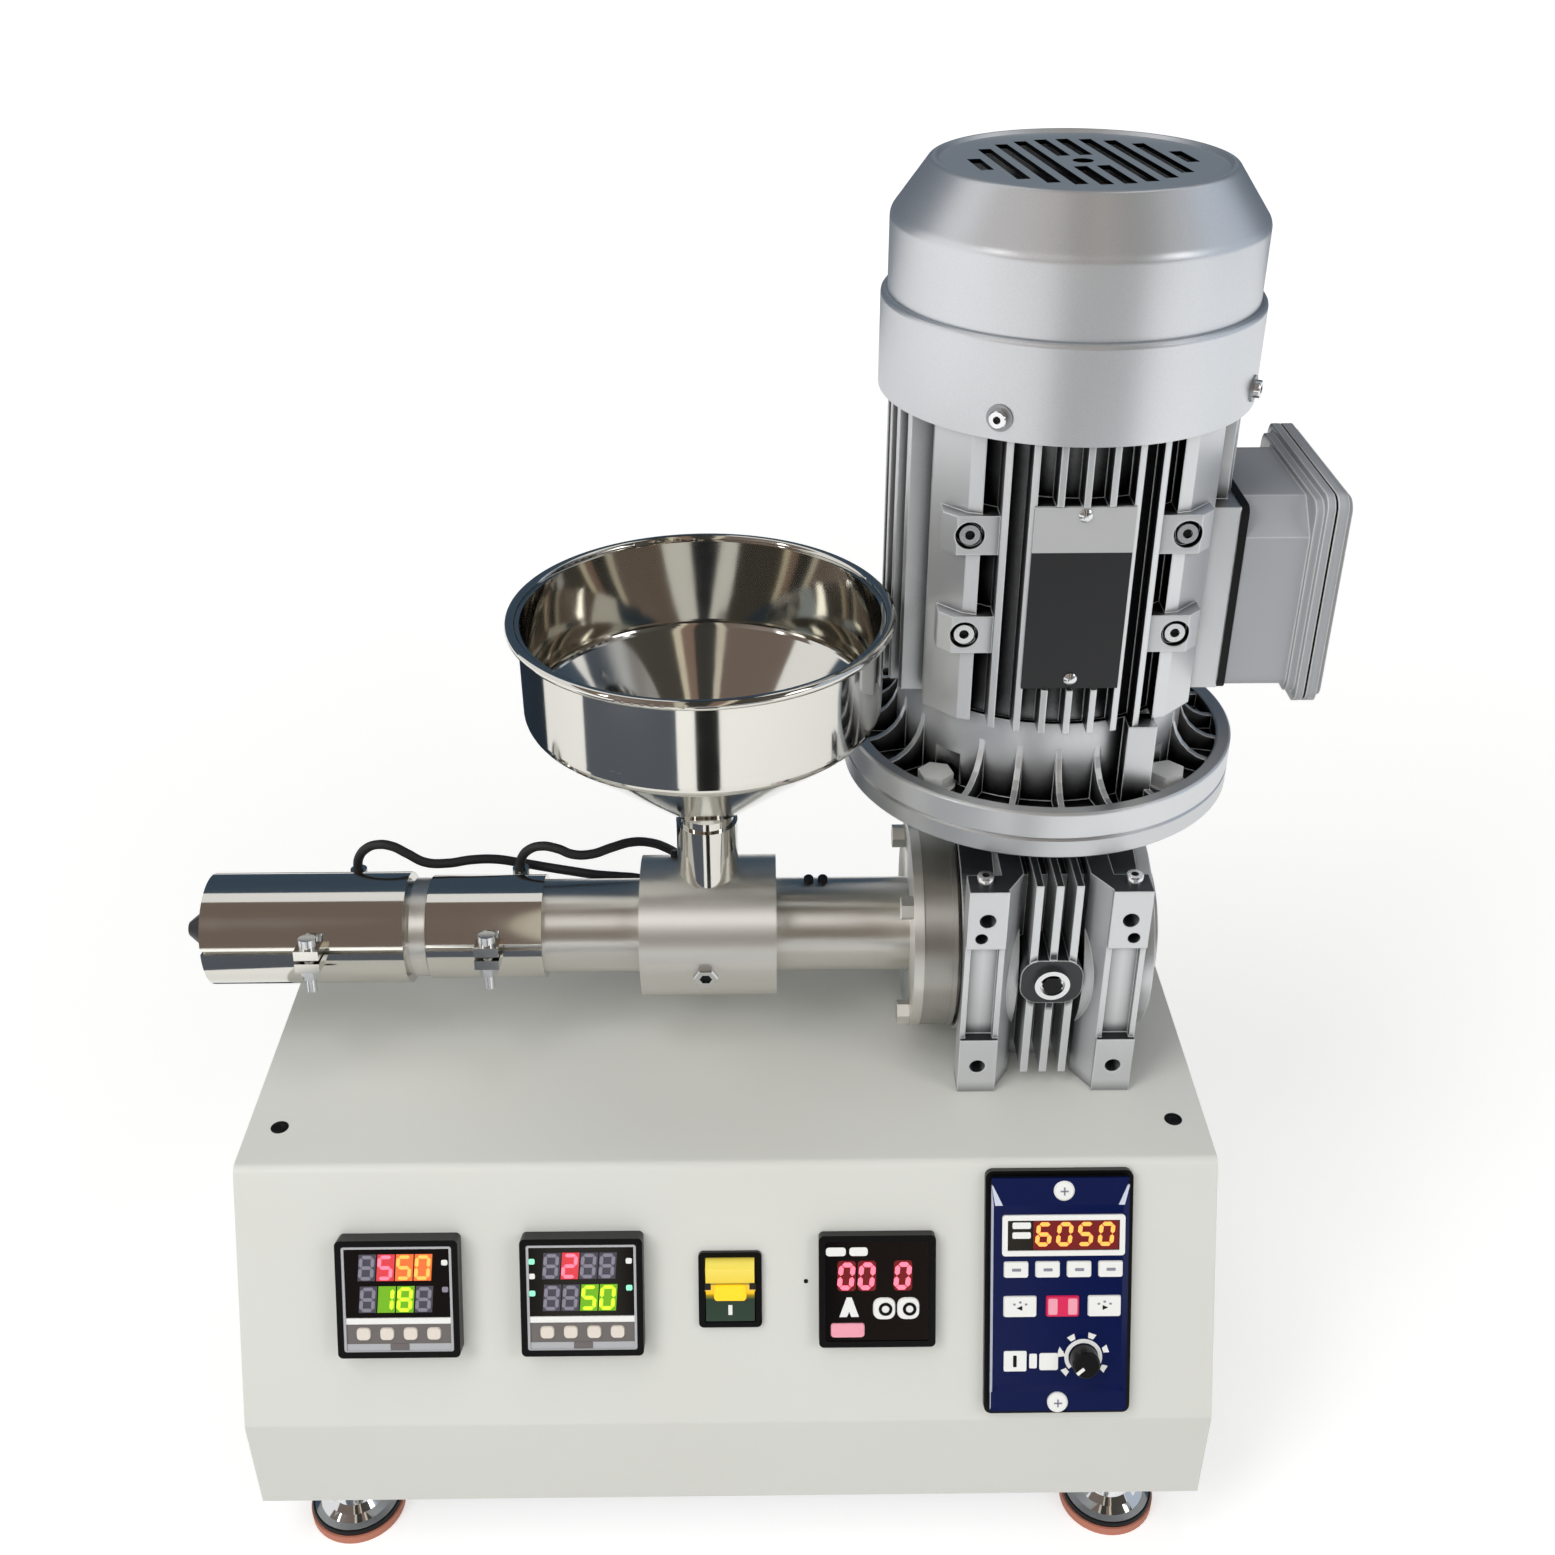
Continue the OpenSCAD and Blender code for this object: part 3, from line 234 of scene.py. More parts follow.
def rounded_outline(x0, x1, s0, s1, r, steps=4):
    """The outline of a rectangle with round corners."""
    points = []
    for cx, cy, start in ((x1 - r, s1 - r, 0), (x0 + r, s1 - r, 90), (x0 + r, s0 + r, 180),
                          (x1 - r, s0 + r, 270)):
        for i in range(steps + 1):
            angle = math.radians(start + 90 * i / steps)
            points.append((cx + r * math.cos(angle), cy + r * math.sin(angle)))
    return points


def put_slab(bm, low, high):
    """A closed slab between two outlines with the same number of corners."""
    rings = [[bm.verts.new(point) for point in line] for line in (low, high)]
    bm.faces.new(rings[0])
    bm.faces.new(rings[1])
    for i in range(len(low)):
        k = (i + 1) % len(low)
        bm.faces.new((rings[0][i], rings[0][k], rings[1][k], rings[1][i]))


def put_shape(finish, seat, outline, low, high, taper=0.0):
    """Raises an outline from low to high over an instrument's seat (x, s, h) on the panel.
    Taper draws its upper edge in by that share."""
    x, s, h = seat
    mid_u, mid_v = [sum(p[k] for p in outline) / len(outline) for k in (0, 1)]
    upper = [(u + (mid_u - u) * taper, v + (mid_v - v) * taper) for u, v in outline]
    put_slab(mesh_of(finish), [on_panel(x + u, s + v, h + low) for u, v in outline],
             [on_panel(x + u, s + v, h + high) for u, v in upper])


def put_tile(finish, seat, x0, x1, s0, s1, r, low, high, taper=0.0):
    """Raises a round-cornered rectangle over an instrument's seat."""
    put_shape(finish, seat, rounded_outline(x0, x1, s0, s1, r), low, high, taper)


def put_frame(finish, seat, x0, x1, s0, s1, r, wide, low, high):
    """Raises a round-cornered frame over an instrument's seat."""
    x, s, h = seat
    outer = rounded_outline(x0, x1, s0, s1, r)
    inner = rounded_outline(x0 + wide, x1 - wide, s0 + wide, s1 - wide, max(r - wide, 0.2))
    bm = mesh_of(finish)
    rings = [[bm.verts.new(on_panel(x + u, s + v, h + level)) for u, v in line]
             for line, level in ((outer, low), (outer, high), (inner, high), (inner, low))]
    for a, b in zip(rings, rings[1:] + rings[:1]):
        for i in range(len(outer)):
            k = (i + 1) % len(outer)
            bm.faces.new((a[i], a[k], b[k], b[i]))


STROKES = {"a": (0, 0, 1, 0), "b": (1, 0, 1, 0.5), "c": (1, 0.5, 1, 1), "d": (0, 1, 1, 1),
           "e": (0, 0.5, 0, 1), "f": (0, 0, 0, 0.5), "g": (0, 0.5, 1, 0.5)}
FIGURES = {"0": "abcdef", "1": "bc", "2": "abged", "5": "afgcd", "6": "afgcde", "8": "abcdefg"}
FIGURE_LEAN, STROKE_T = 0.1, 0.15


def put_figure(finish, seat, figure, x, s, wide, tall, stroke, low):
    """A seven-stroke figure whose upper left corner is at x, s, leaning a little to the right."""
    lean = FIGURE_LEAN * tall
    for name in FIGURES[figure]:
        u0, v0, u1, v1 = STROKES[name]
        a = Vector((x + u0 * wide + lean * (1 - v0), s + v0 * tall))
        b = Vector((x + u1 * wide + lean * (1 - v1), s + v1 * tall))
        along = (b - a).normalized() * stroke / 2
        side = Vector((-along.y, along.x))
        a, b = a + 0.25 * along, b - 0.25 * along
        corners = (a, a + along + side, b - along + side, b, b - along - side, a + along - side)
        put_shape(finish, seat, [corner[:] for corner in corners], low, low + STROKE_T)


def lit(name, colour, strength):
    """The finish of a lit figure or lamp: it glows in its own colour."""
    material, tree, shader, place = new_finish(name, colour, 0.4)
    shader.inputs["Emission Color"].default_value = linear(colour)
    shader.inputs["Emission Strength"].default_value = strength
    return material


# Moulded black ABS: fine spark-eroded grain, half matt; the grain is drawn 0.6 mm across so that it shows
black_abs, tree, shader, place = new_finish("moulded_black_abs", "#060607", 0.36)
shader.inputs["Specular IOR Level"].default_value = 0.25
roughen(tree, shader, place, 0.6 * MM, 0.05 * MM, 0.1, 1.0)
dress(black_abs, "controller_left", "controller_right", "switch_frame", "panel_meter", "cable_glands")
# Printed film: a light grey frame and a warm grey key strip, both satin, and flat white print
grey_print = new_finish("printed_grey_film", "#B4B5B8", 0.4)[0]
key_strip_grey = new_finish("warm_grey_film", "#6E6967", 0.4)[0]
white_print = new_finish("white_print", "#F2F2EE", 0.5)[0]
# Dark acrylic: a window with a polished face that nearly hides what isn't lit
dark_acrylic = new_finish("dark_acrylic", "#060607", 0.08, ior=1.49)[0]
# Cream silicone rubber: soft, matt keys
key_cream = new_finish("cream_rubber_keys", "#E6DCD0", 0.5)[0]
# Display cells: diodes behind the window, pale grey where unlit, and glowing in a dim haze where lit
unlit = new_finish("unlit_figures", "#8B8796", 0.5)[0]
dim_cells = new_finish("dim_display_cells", "#494752", 0.4)[0]
glow_orange = lit("glow_orange", "#FFA04A", 1.0)
glow_pink = lit("glow_pink", "#FF6F86", 1.0)
glow_green = lit("glow_green", "#B8F02A", 1.0)
dot_mint = lit("dot_mint", "#7FE0B0", 0.8)
HAZE = {unlit: dim_cells, glow_pink: lit("haze_pink", "#B8323A", 0.7),
        glow_orange: lit("haze_orange", "#D0602C", 0.7), glow_green: lit("haze_green", "#5E9412", 0.7)}

# Each controller: its middle, its two rows of figures, and its lamps from the middle
CONTROLLER_S, WINDOW_H = 51, 6.8
CONTROLLERS = {
    "left": (-129, (("8", unlit), ("5", glow_pink), ("5", glow_orange), ("0", glow_orange)),
             (("8", unlit), ("1", glow_green), ("8", glow_green), ("8", unlit)),
             ((18, -15, white_print), (18, -4, unlit))),
    "right": (-57, (("8", unlit), ("2", glow_pink), ("8", unlit), ("8", unlit)),
              (("8", unlit), ("8", unlit), ("5", glow_green), ("0", glow_green)),
              ((-20, -15, dot_mint), (-20, -9, white_print), (-20, -2, dot_mint), (18, -15, white_print),
               (18, -4, dot_mint)))}
# Each field of the face: its finish, its sides from the middle, its corners, and where its foot and top lie
FIELDS = ((dark_acrylic, -20.5, 20.5, -20.5, 7.6, 0.4, -0.2, 0.4),
          (white_print, -20.8, 20.8, 7.8, 10.2, 0.3, -0.2, 0.7),
          (key_strip_grey, -20.5, 20.5, 10.2, 18.4, 0.3, -0.2, 0.4),
          (grey_print, -20.5, 20.5, 18.4, 21.2, 0.3, -0.2, 0.5),
          (key_strip_grey, -3.5, 4, 18.4, 21, 0.3, 0, 0.6))
FIGURE_W, FIGURE_H, FIGURE_PITCH, FIGURE_X, FIGURE_STROKE = 4.6, 8.6, 7.3, -14.6, 1.4
UPPER_ROW, LOWER_ROW = -17.6, -4.6
CELL_IN, CELL_W, CELL_TOP, CELL_H = 0.9, 6.8, 0.6, 10.8
KEY_PITCH, KEY_HALF, KEY_TOP, KEY_LOW = 9.2, 2.9, 11.6, 16.8
for side, (x, upper, lower, dots) in CONTROLLERS.items():
    seat = (x, CONTROLLER_S, WINDOW_H)
    put_frame(grey_print, seat, -22, 22, -22, 22.6, 1.2, 1.5, 0, 1.0)
    for field in FIELDS:
        put_tile(field[0], seat, *field[1:])
    for k in range(4):
        key_x = KEY_PITCH * (k - 1.5)
        put_tile(key_cream, seat, key_x - KEY_HALF, key_x + KEY_HALF, KEY_TOP, KEY_LOW, 1.6, 0, 1.2, 0.12)
    for figures, s in ((upper, UPPER_ROW), (lower, LOWER_ROW)):
        for k, (figure, finish) in enumerate(figures):
            figure_x = FIGURE_X + FIGURE_PITCH * k
            put_figure(finish, seat, figure, figure_x, s + 0.5, FIGURE_W, FIGURE_H, FIGURE_STROKE, 0.5)
            lean, left, top = FIGURE_LEAN * FIGURE_H, figure_x - CELL_IN, s - CELL_TOP
            put_shape(HAZE[finish], seat, [(left + lean, top), (left + CELL_W + lean, top),
                                           (left + CELL_W, top + CELL_H), (left, top + CELL_H)], 0.3, 0.48)
    for dot_x, s, finish in dots:
        put_tile(finish, seat, dot_x - 0.6, dot_x + 1.8, s - 0.8, s + 1.4, 0.6, 0.3, 0.6)
    make_pieces(f"controller_{side}")

# A pin hole beside the meter, for a reset pin, drawn as a black disc of painted shade
PIN_HOLE_X, PIN_HOLE_S, PIN_HOLE_R = 31, 48.5, 0.9
bm = bmesh.new()
put_turned(bm, [(0, -0.4), (PIN_HOLE_R, -0.4), (PIN_HOLE_R, 0.15), (0, 0.1)],
           on_panel(PIN_HOLE_X, PIN_HOLE_S, 0), panel_normal, 20)
make_piece("pin_hole", bm, black_rubber_and_hole_shade)


# Rocker switch
# A snap-in mains switch: a black frame and a lit rocker moulded in clear plastic, yellow over its upper half
# and dark green over its lower half, with a white bar for its on mark.
SWITCH_X, SWITCH_S, ROCKER_HALF = 1, 51, 13 * MM
# Tinted polycarbonate: polished, lit from behind over the yellow half
tinted_rocker, tree, shader, place = new_finish("tinted_polycarbonate", "#F0C41E", 0.12, ior=1.58)
up_slope = panel.to_3x3() @ Vector((0, 1, 0))
pin = on_panel(SWITCH_X, SWITCH_S, 0)
offset = add(tree, "ShaderNodeVectorMath", {0: place, 1: pin}, operation="SUBTRACT")
height = add(tree, "ShaderNodeVectorMath", {0: offset.outputs["Vector"], 1: up_slope},
             operation="DOT_PRODUCT")
level = add(tree, "ShaderNodeMapRange", {"Value": height.outputs["Value"], "From Min": -ROCKER_HALF,
                                         "From Max": ROCKER_HALF})
bands = add(tree, "ShaderNodeValToRGB", {"Fac": level.outputs["Result"]})
bands.color_ramp.elements[0].color = linear("#26382A")
bands.color_ramp.elements[1].color = linear("#EBD75A")
for position, colour in ((0.36, "#26382A"), (0.42, "#8A7A14"), (0.46, "#F4BE12"), (0.6, "#F2BC14"),
                         (0.63, "#6E5A10"), (0.66, "#E6C82A")):
    bands.color_ramp.elements.new(position).color = linear(colour)
tree.links.new(bands.outputs["Color"], shader.inputs["Base Color"])
tree.links.new(bands.outputs["Color"], shader.inputs["Emission Color"])
shader.inputs["Emission Strength"].default_value = 0.25
dress(tinted_rocker, "switch_rocker")
ROCKER_TILT, VALLEY_H, VALLEY_RISE = math.radians(12), 2.6, 0.185
rocker_place = (panel @ Matrix.Translation((SWITCH_X * MM, -SWITCH_S * MM, 0))
                @ Matrix.Rotation(ROCKER_TILT, 4, "X"))


def on_rocker(x, u, lift):
    """A point on the rocker's hollow face: x across, u up from its pin, lift above the face."""
    return rocker_place @ (Vector((x, u, VALLEY_H + VALLEY_RISE * abs(u) + lift)) * MM)


def put_on_rocker(bm, outline, foot, lift, narrow=1.0, short=1.0):
    """A slab on the rocker's face, its upper side made narrower and shorter by two shares."""
    put_slab(bm, [on_rocker(x, u, foot) for x, u in outline],
             [on_rocker(narrow * x, short * u, lift) for x, u in outline])


# The lamp's lens in amber polycarbonate, lit from behind; the bar of the on mark; a dark notch at each side
amber_lens = lit("amber_lens", "#FFC21A", 0.5)
bm = bmesh.new()
put_on_rocker(bm, rounded_outline(-6.6, 6.6, -3.6, 4, 1.2), -0.6, 0.7, 0.94, 0.9)
make_piece("rocker_lens", bm, amber_lens, body="rocker")
bm = bmesh.new()
put_on_rocker(bm, [(-0.8, -9.4), (0.8, -9.4), (0.8, -5.4), (-0.8, -5.4)], -0.3, 0.15)
make_piece("rocker_bar", bm, white_print, body="rocker")
bm = bmesh.new()
for side in (-1, 1):
    put_on_rocker(bm, [(side * 7.6, 1.2), (side * 10, 1.2), (side * 10, 4.6), (side * 7.6, 4.6)], -0.3, 0.12)
make_piece("rocker_notches", bm, black_abs, body="rocker")


# Panel meter
# A speed meter in a moulded black case with a polished window: red figures, two white labels, a white
# pointer key, two round white keys and a pink key, all on one black face. It is clipped into the panel.
METER_X, METER_S, METER_H = 36, 28, 4.0
seat = (METER_X, METER_S, METER_H + 0.5)
# Red haze: the dim glow round the lit strokes behind a dark red film
haze_red = lit("haze_red", "#5A0A0C", 0.8)
put_tile(dark_acrylic, seat, 2, 44, 2, 44, 1, -0.7, 0)
for x0, x1 in ((2.8, 10.6), (12, 19.2)):
    put_tile(white_print, seat, x0, x1, 4.9, 8.4, 1.2, 0, 0.15)
for x0 in (8.2, 16.2, 30.4):
    put_tile(haze_red, seat, x0 - 0.9, x0 + 6.3, 10.4, 22.8, 1.4, 0, 0.12)
    put_figure(glow_pink, seat, "0", x0 - 0.2, 12, 4.6, 9.4, 1.9, 0.15)
put_shape(white_print, seat, [(10.9, 25.4), (12.9, 25.4), (15.7, 33.4), (12.7, 33.4), (11.9, 31.2),
                              (11, 33.4), (8, 33.4)], 0, 0.3)
ROUND_KEY, ROUND_MARK = 4.4, [(1.5, 0), (2.7, 0), (2.7, 0.2), (1.5, 0.2)]
for x0 in (25.7, 35.2):
    put_tile(white_print, seat, x0 - ROUND_KEY, x0 + ROUND_KEY, 25.6, 34.6, 3, 0, 0.6, 0.06)
    put_turned(mesh_of(black_abs), ROUND_MARK, on_panel(METER_X + x0 + 0.5, METER_S + 30.2, seat[2] + 0.6),
               panel_normal, 24)
# Pink silicone rubber: matt and soft at its edges
key_pink = new_finish("pink_rubber_key", "#F5A6B6", 0.5)[0]
put_tile(key_pink, seat, 4.6, 18, 36, 41.8, 1.2, 0, 0.6, 0.04)
make_pieces("meter")


# Speed controller
# A motor speed controller behind a dark blue moulded plate in a black surround. The plate has a sunk face
# with slanted edges, two white screws, a lit display in a white frame, keys, and a dial round the knob.
SPEED_X, SPEED_S, SPEED_T = 101.5, 2.8, 5.0
seat = (SPEED_X, SPEED_S, SPEED_T)
RAISED, SILL, SUNK = 1.3, 0.9, 0.12
dress(black_abs, "speed_controller", "speed_knob")
# Blue ABS: smooth moulding with a low shine
blue_abs, tree, shader, place = new_finish("moulded_blue_abs", "#0A1748", 0.14)
shader.inputs["Specular IOR Level"].default_value = 0.2
# Painted highlight on the slanted edges: a pale blue strip, half matt, where the bevels catch the light
bevel_highlight = new_finish("painted_bevel_highlight", "#D4D9EA", 0.25)[0]
# Red silicone rubber: a smooth key, half matt
red_key = new_finish("red_silicone_key", "#E0245A", 0.35)[0]


def put_slope(finish, corners):
    """A wedge on the speed plate, from four corners of (x, s, height) down to the plate."""
    put_slab(mesh_of(finish), [on_panel(SPEED_X + x, SPEED_S + s, SPEED_T) for x, s, h in corners],
             [on_panel(SPEED_X + x, SPEED_S + s, SPEED_T + h) for x, s, h in corners])


put_tile(blue_abs, seat, 2, 56, 2, 98, 0.8, -0.3, 0.1)
put_slope(blue_abs, [(2, 2, RAISED), (56, 2, RAISED), (52.5, 13.4, SUNK), (5.5, 13.4, SUNK)])
put_slope(blue_abs, [(5, 87.6, SUNK), (53, 87.6, SUNK), (55, 90, SILL), (3, 90, SILL)])
put_tile(blue_abs, seat, 2, 56, 90, 98, 0.5, 0, SILL)
high, low = RAISED + 0.1, SUNK + 0.2
# Painted highlight: pale strips down the left slant and across the two upper corners.
put_slope(bevel_highlight, [(2, 5.6, RAISED), (3, 13, low), (3, 95, low), (2, 97, RAISED)])
put_slope(bevel_highlight, [(2, 5, high), (2.6, 5, high), (6.6, 13.4, low), (3.6, 13.4, low)])
put_slope(bevel_highlight, [(55.2, 5, high), (56, 5, high), (54.4, 13.4, low), (52, 13.4, low)])
put_slope(blue_abs, [(54, 13, SUNK), (56, 5.6, RAISED), (56, 97, RAISED), (54, 95, SUNK)])

# The display in its white frame, with two labels at its left
put_frame(white_print, seat, 6.4, 54.6, 17.2, 33.8, 1.2, 2.1, 0, 1.0)
put_tile(dark_acrylic, seat, 8.4, 52.6, 19.2, 31.8, 0.4, 0, 0.4)
put_tile(haze_red, seat, 18.6, 52.2, 19.6, 31.4, 0.6, 0.3, 0.5)
for s0 in (20.2, 24.2):
    put_tile(white_print, seat, 10.4, 17.6, s0, s0 + 2.6, 0.6, 0.3, 0.6)
for k, figure in enumerate("6050"):
    put_figure(glow_orange, seat, figure, 20 + 8.2 * k, 21, 4.6, 8.2, 1.6, 0.55)
# A row of four keys, each with a plain bar, and a row of three, the middle one red
MARK_FOOT, MARK_TOP = 0.8, 1.0
for k in range(4):
    x0 = 7.1 + 12.4 * k
    put_tile(white_print, seat, x0, x0 + 9.8, 36.2, 42.8, 0.8, 0, 0.9, 0.06)
    put_tile(unlit, seat, x0 + 3.2, x0 + 6.8, 38.9, 40.1, 0.3, MARK_FOOT, MARK_TOP)
for x0, finish in ((7.1, white_print), (23.9, red_key), (40.4, white_print)):
    put_tile(finish, seat, x0, x0 + 13.2, 50.4, 59, 0.8, 0, 0.9, 0.05)
for x0 in (24.8, 32.6):
    put_tile(key_pink, seat, x0, x0 + 3.6, 51.4, 58, 0.6, MARK_FOOT, MARK_TOP)
# The outer two show a turn to the left and to the right: an arrow head under three rays
RAY_S, RAY_R = 56.4, 3.6
for x0, way in ((13.7, -1), (47, 1)):
    for turn in (-40, 0, 40):
        angle = math.radians(turn - 90)
        ray_x, ray_s = x0 + RAY_R * math.cos(angle), RAY_S + RAY_R * math.sin(angle)
        put_tile(unlit, seat, ray_x - 0.5, ray_x + 0.5, ray_s - 0.4, ray_s + 0.4, 0.2, MARK_FOOT, MARK_TOP)
    arrow = [(x0 - way * 0.8, 54.2), (x0 + way * 1.4, 55.2), (x0 - way * 0.8, 56.2)]
    put_shape(black_abs, seat, arrow[::way], MARK_FOOT, MARK_TOP)
# Labels at the left of the knob
LABEL_T = 0.4
put_tile(white_print, seat, 7.5, 16.5, 73.2, 81.6, 0.6, 0, LABEL_T)
put_tile(black_abs, seat, 11.2, 12.6, 75, 79.8, 0.3, 0.3, 0.5)
put_tile(white_print, seat, 17.6, 20.6, 74.4, 80.4, 0.5, 0, LABEL_T)
put_tile(white_print, seat, 21.6, 29, 74.2, 81.2, 0.8, 0, LABEL_T)
put_shape(white_print, seat, [(28.6, 75.4), (29.6, 71.6), (32.2, 75.6)], 0, LABEL_T)

# The dial: a white arc round the knob with a wedge at every 50 degrees
knob_seat = (140.5, 78.8, SPEED_T)
DIAL_IN, DIAL_OUT, DIAL_T, WEDGE_IN, WEDGE_OUT = 5.9, 7.5, 0.35, 8.2, 10.4
DIAL_START, DIAL_END, DIAL_STEPS = -220, 30, 30


def dial_point(radius, degrees):
    """A point round the knob, with nothing degrees to the right and the turn clockwise."""
    return radius * math.cos(math.radians(degrees)), radius * math.sin(math.radians(degrees))


arc = [DIAL_START + (DIAL_END - DIAL_START) * i / DIAL_STEPS for i in range(DIAL_STEPS + 1)]
arc_line = [dial_point(DIAL_OUT, a) for a in arc] + [dial_point(DIAL_IN, a) for a in arc[::-1]]
put_shape(white_print, knob_seat, arc_line, 0, DIAL_T)
for a in range(DIAL_START, DIAL_END + 1, 50):
    put_shape(white_print, knob_seat, [dial_point(WEDGE_IN, a - 7), dial_point(WEDGE_OUT, a - 9),
                                       dial_point(WEDGE_OUT, a + 9), dial_point(WEDGE_IN, a + 7)], 0, DIAL_T)
# The plate's two white cross-head screws, whose grey crosses are painted shade of their recesses
PLATE_SCREW = [(0, 0), (4.1, 0), (4.1, 0.9), (3.5, 1.5), (0, 1.8)]
CROSS_LONG, CROSS_WIDE = 1.6, 0.3
for x0, s0, h in ((30.4, 7.2, 0.2), (28.8, 94, SILL)):
    head = on_panel(SPEED_X + x0, SPEED_S + s0, SPEED_T + h)
    put_turned(mesh_of(white_print), PLATE_SCREW, head, panel_normal)
    # Painted shade: a grey cross stands for each recess.
    for across, along in ((CROSS_LONG, CROSS_WIDE), (CROSS_WIDE, CROSS_LONG)):
        put_tile(unlit, seat, x0 - across, x0 + across, s0 - along, s0 + along, 0.2, h + 1.5, h + 1.9)
make_pieces("speed")
# The knob's white pointer
POINTER, POINTER_FOOT, POINTER_TOP = ((1.6, -24), (5, -8), (5, 8), (1.6, 24)), 8.2, 8.55
pointer_line = [dial_point(radius, DIAL_START + turn) for radius, turn in POINTER]
put_shape(white_print, knob_seat, pointer_line, POINTER_FOOT, POINTER_TOP)
make_piece("knob_pointer", gathered.pop(white_print), white_print, body="knob")


# Gearbox and motor castings
# Die-cast aluminium in bright silver paint: the worm gearbox, its flange, and the motor's finned frame and
# shields. They are bolted together, with socket cap screws in the cast pads.
def painted_edge_highlight(tree, radius):
    """The share of painted highlight along edges of one radius, and the normal that rounds them."""
    edge = add(tree, "ShaderNodeBevel", {"Radius": radius}, samples=6)
    surface = add(tree, "ShaderNodeNewGeometry")
    bend = add(tree, "ShaderNodeVectorMath", {0: edge.outputs["Normal"], 1: surface.outputs["True Normal"]},
               operation="DOT_PRODUCT")
    highlight_share = add(tree, "ShaderNodeMapRange", {"Value": bend.outputs["Value"], "From Min": 0.97,
                                            "From Max": 0.85})
    return highlight_share.outputs["Result"], edge.outputs["Normal"]


def cast_aluminium(name, reach, dark_below, light_above, metal, plug=None):
    """Painted castings: painted shade turns gaps narrower than reach black by the share of open sky, and
    edges get a bright painted highlight. What lies round a plug is darker, and painted shade darkens what
    looks up."""
    material, tree, shader, place = new_finish(name, "#D4D6D8", 0.36, metallic=0.9)
    # Painted shade: gaps are mixed towards black by how little open sky they see.
    gap = add(tree, "ShaderNodeAmbientOcclusion", {"Distance": reach}, samples=8)
    unshaded_share = add(tree, "ShaderNodeMapRange", {"Value": gap.outputs["AO"], "From Min": dark_below,
                                             "From Max": light_above})
    paint = add(tree, "ShaderNodeMix", {"Factor": unshaded_share.outputs["Result"], "A": linear("#08090A"),
                                        "B": linear("#D4D6D8")}, data_type="RGBA")
    if plug:
        # Round the plug the paint turns dark grey. Faces that look up turn dark grey too, as painted shade
        # like the flange's shadow.
        away = add(tree, "ShaderNodeVectorMath", {0: place, 1: plug}, operation="DISTANCE")
        near = add(tree, "ShaderNodeMapRange", {"Value": away.outputs["Value"], "From Min": 13 * MM,
                                                "From Max": 15 * MM})
        surface = add(tree, "ShaderNodeNewGeometry")
        facing = add(tree, "ShaderNodeSeparateXYZ", {"Vector": surface.outputs["True Normal"]})
        upward = add(tree, "ShaderNodeMapRange", {"Value": facing.outputs["Z"], "From Min": 0.9,
                                                  "From Max": 0.6})
        clear_of_plug_and_shade = add(tree, "ShaderNodeMath", {0: near.outputs["Result"], 1: upward.outputs["Result"]},
                   operation="MULTIPLY")
        paint = add(tree, "ShaderNodeMix", {"Factor": clear_of_plug_and_shade.outputs["Value"], "A": linear("#3C3E41"),
                                            "B": paint.outputs["Result"]}, data_type="RGBA")
    highlight_share, edge_normal = painted_edge_highlight(tree, 0.8 * MM)
    # Painted highlight: edges are mixed towards near white and made less metallic.
    highlit_edges = add(tree, "ShaderNodeMix", {"Factor": highlight_share, "A": paint.outputs["Result"],
                                         "B": linear("#F2F3F4")}, data_type="RGBA")
    shine = add(tree, "ShaderNodeMapRange", {"Value": highlight_share, "To Min": metal, "To Max": 0.3})
    tree.links.new(highlit_edges.outputs["Result"], shader.inputs["Base Color"])
    tree.links.new(shine.outputs["Result"], shader.inputs["Metallic"])
    roughen(tree, shader, place, 0.9 * MM, 0.08 * MM, 0.12, 2.0, edge_normal)
    return material


# Cast and painted aluminium: a bright silver skin with a fine sandy grain, with painted shade in the gaps
# and painted highlights on the edges. The gearbox is darker round its plug, and painted shade darkens the
# faces that look up, as in the shadow of its flange.
plug_low, plug_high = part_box("oil_plug")
plug_middle = (plug_low + plug_high) / 2
dress(cast_aluminium("silver_cast_gearbox", 6 * MM, 0.2, 1.0, 0.6, plug_middle), "gearbox_housing")
dress(cast_aluminium("silver_cast_motor", 14 * MM, 0.3, 0.8, 0.85),
      "motor_frame", "motor_rear_shield", "gearbox_cover")
dress(cast_aluminium("silver_cast_shield", 14 * MM, 0.45, 0.85, 0.85), "motor_end_shield")


def brush_round(tree, shader, axis):
    """Fine lines round an axis, which spread the reflections along it."""
    around = add(tree, "ShaderNodeTangent", direction_type="RADIAL", axis=axis)
    tree.links.new(around.outputs["Tangent"], shader.inputs["Tangent"])
    shader.inputs["Anisotropic"].default_value = 0.9
    shader.inputs["Anisotropic Rotation"].default_value = 0.25


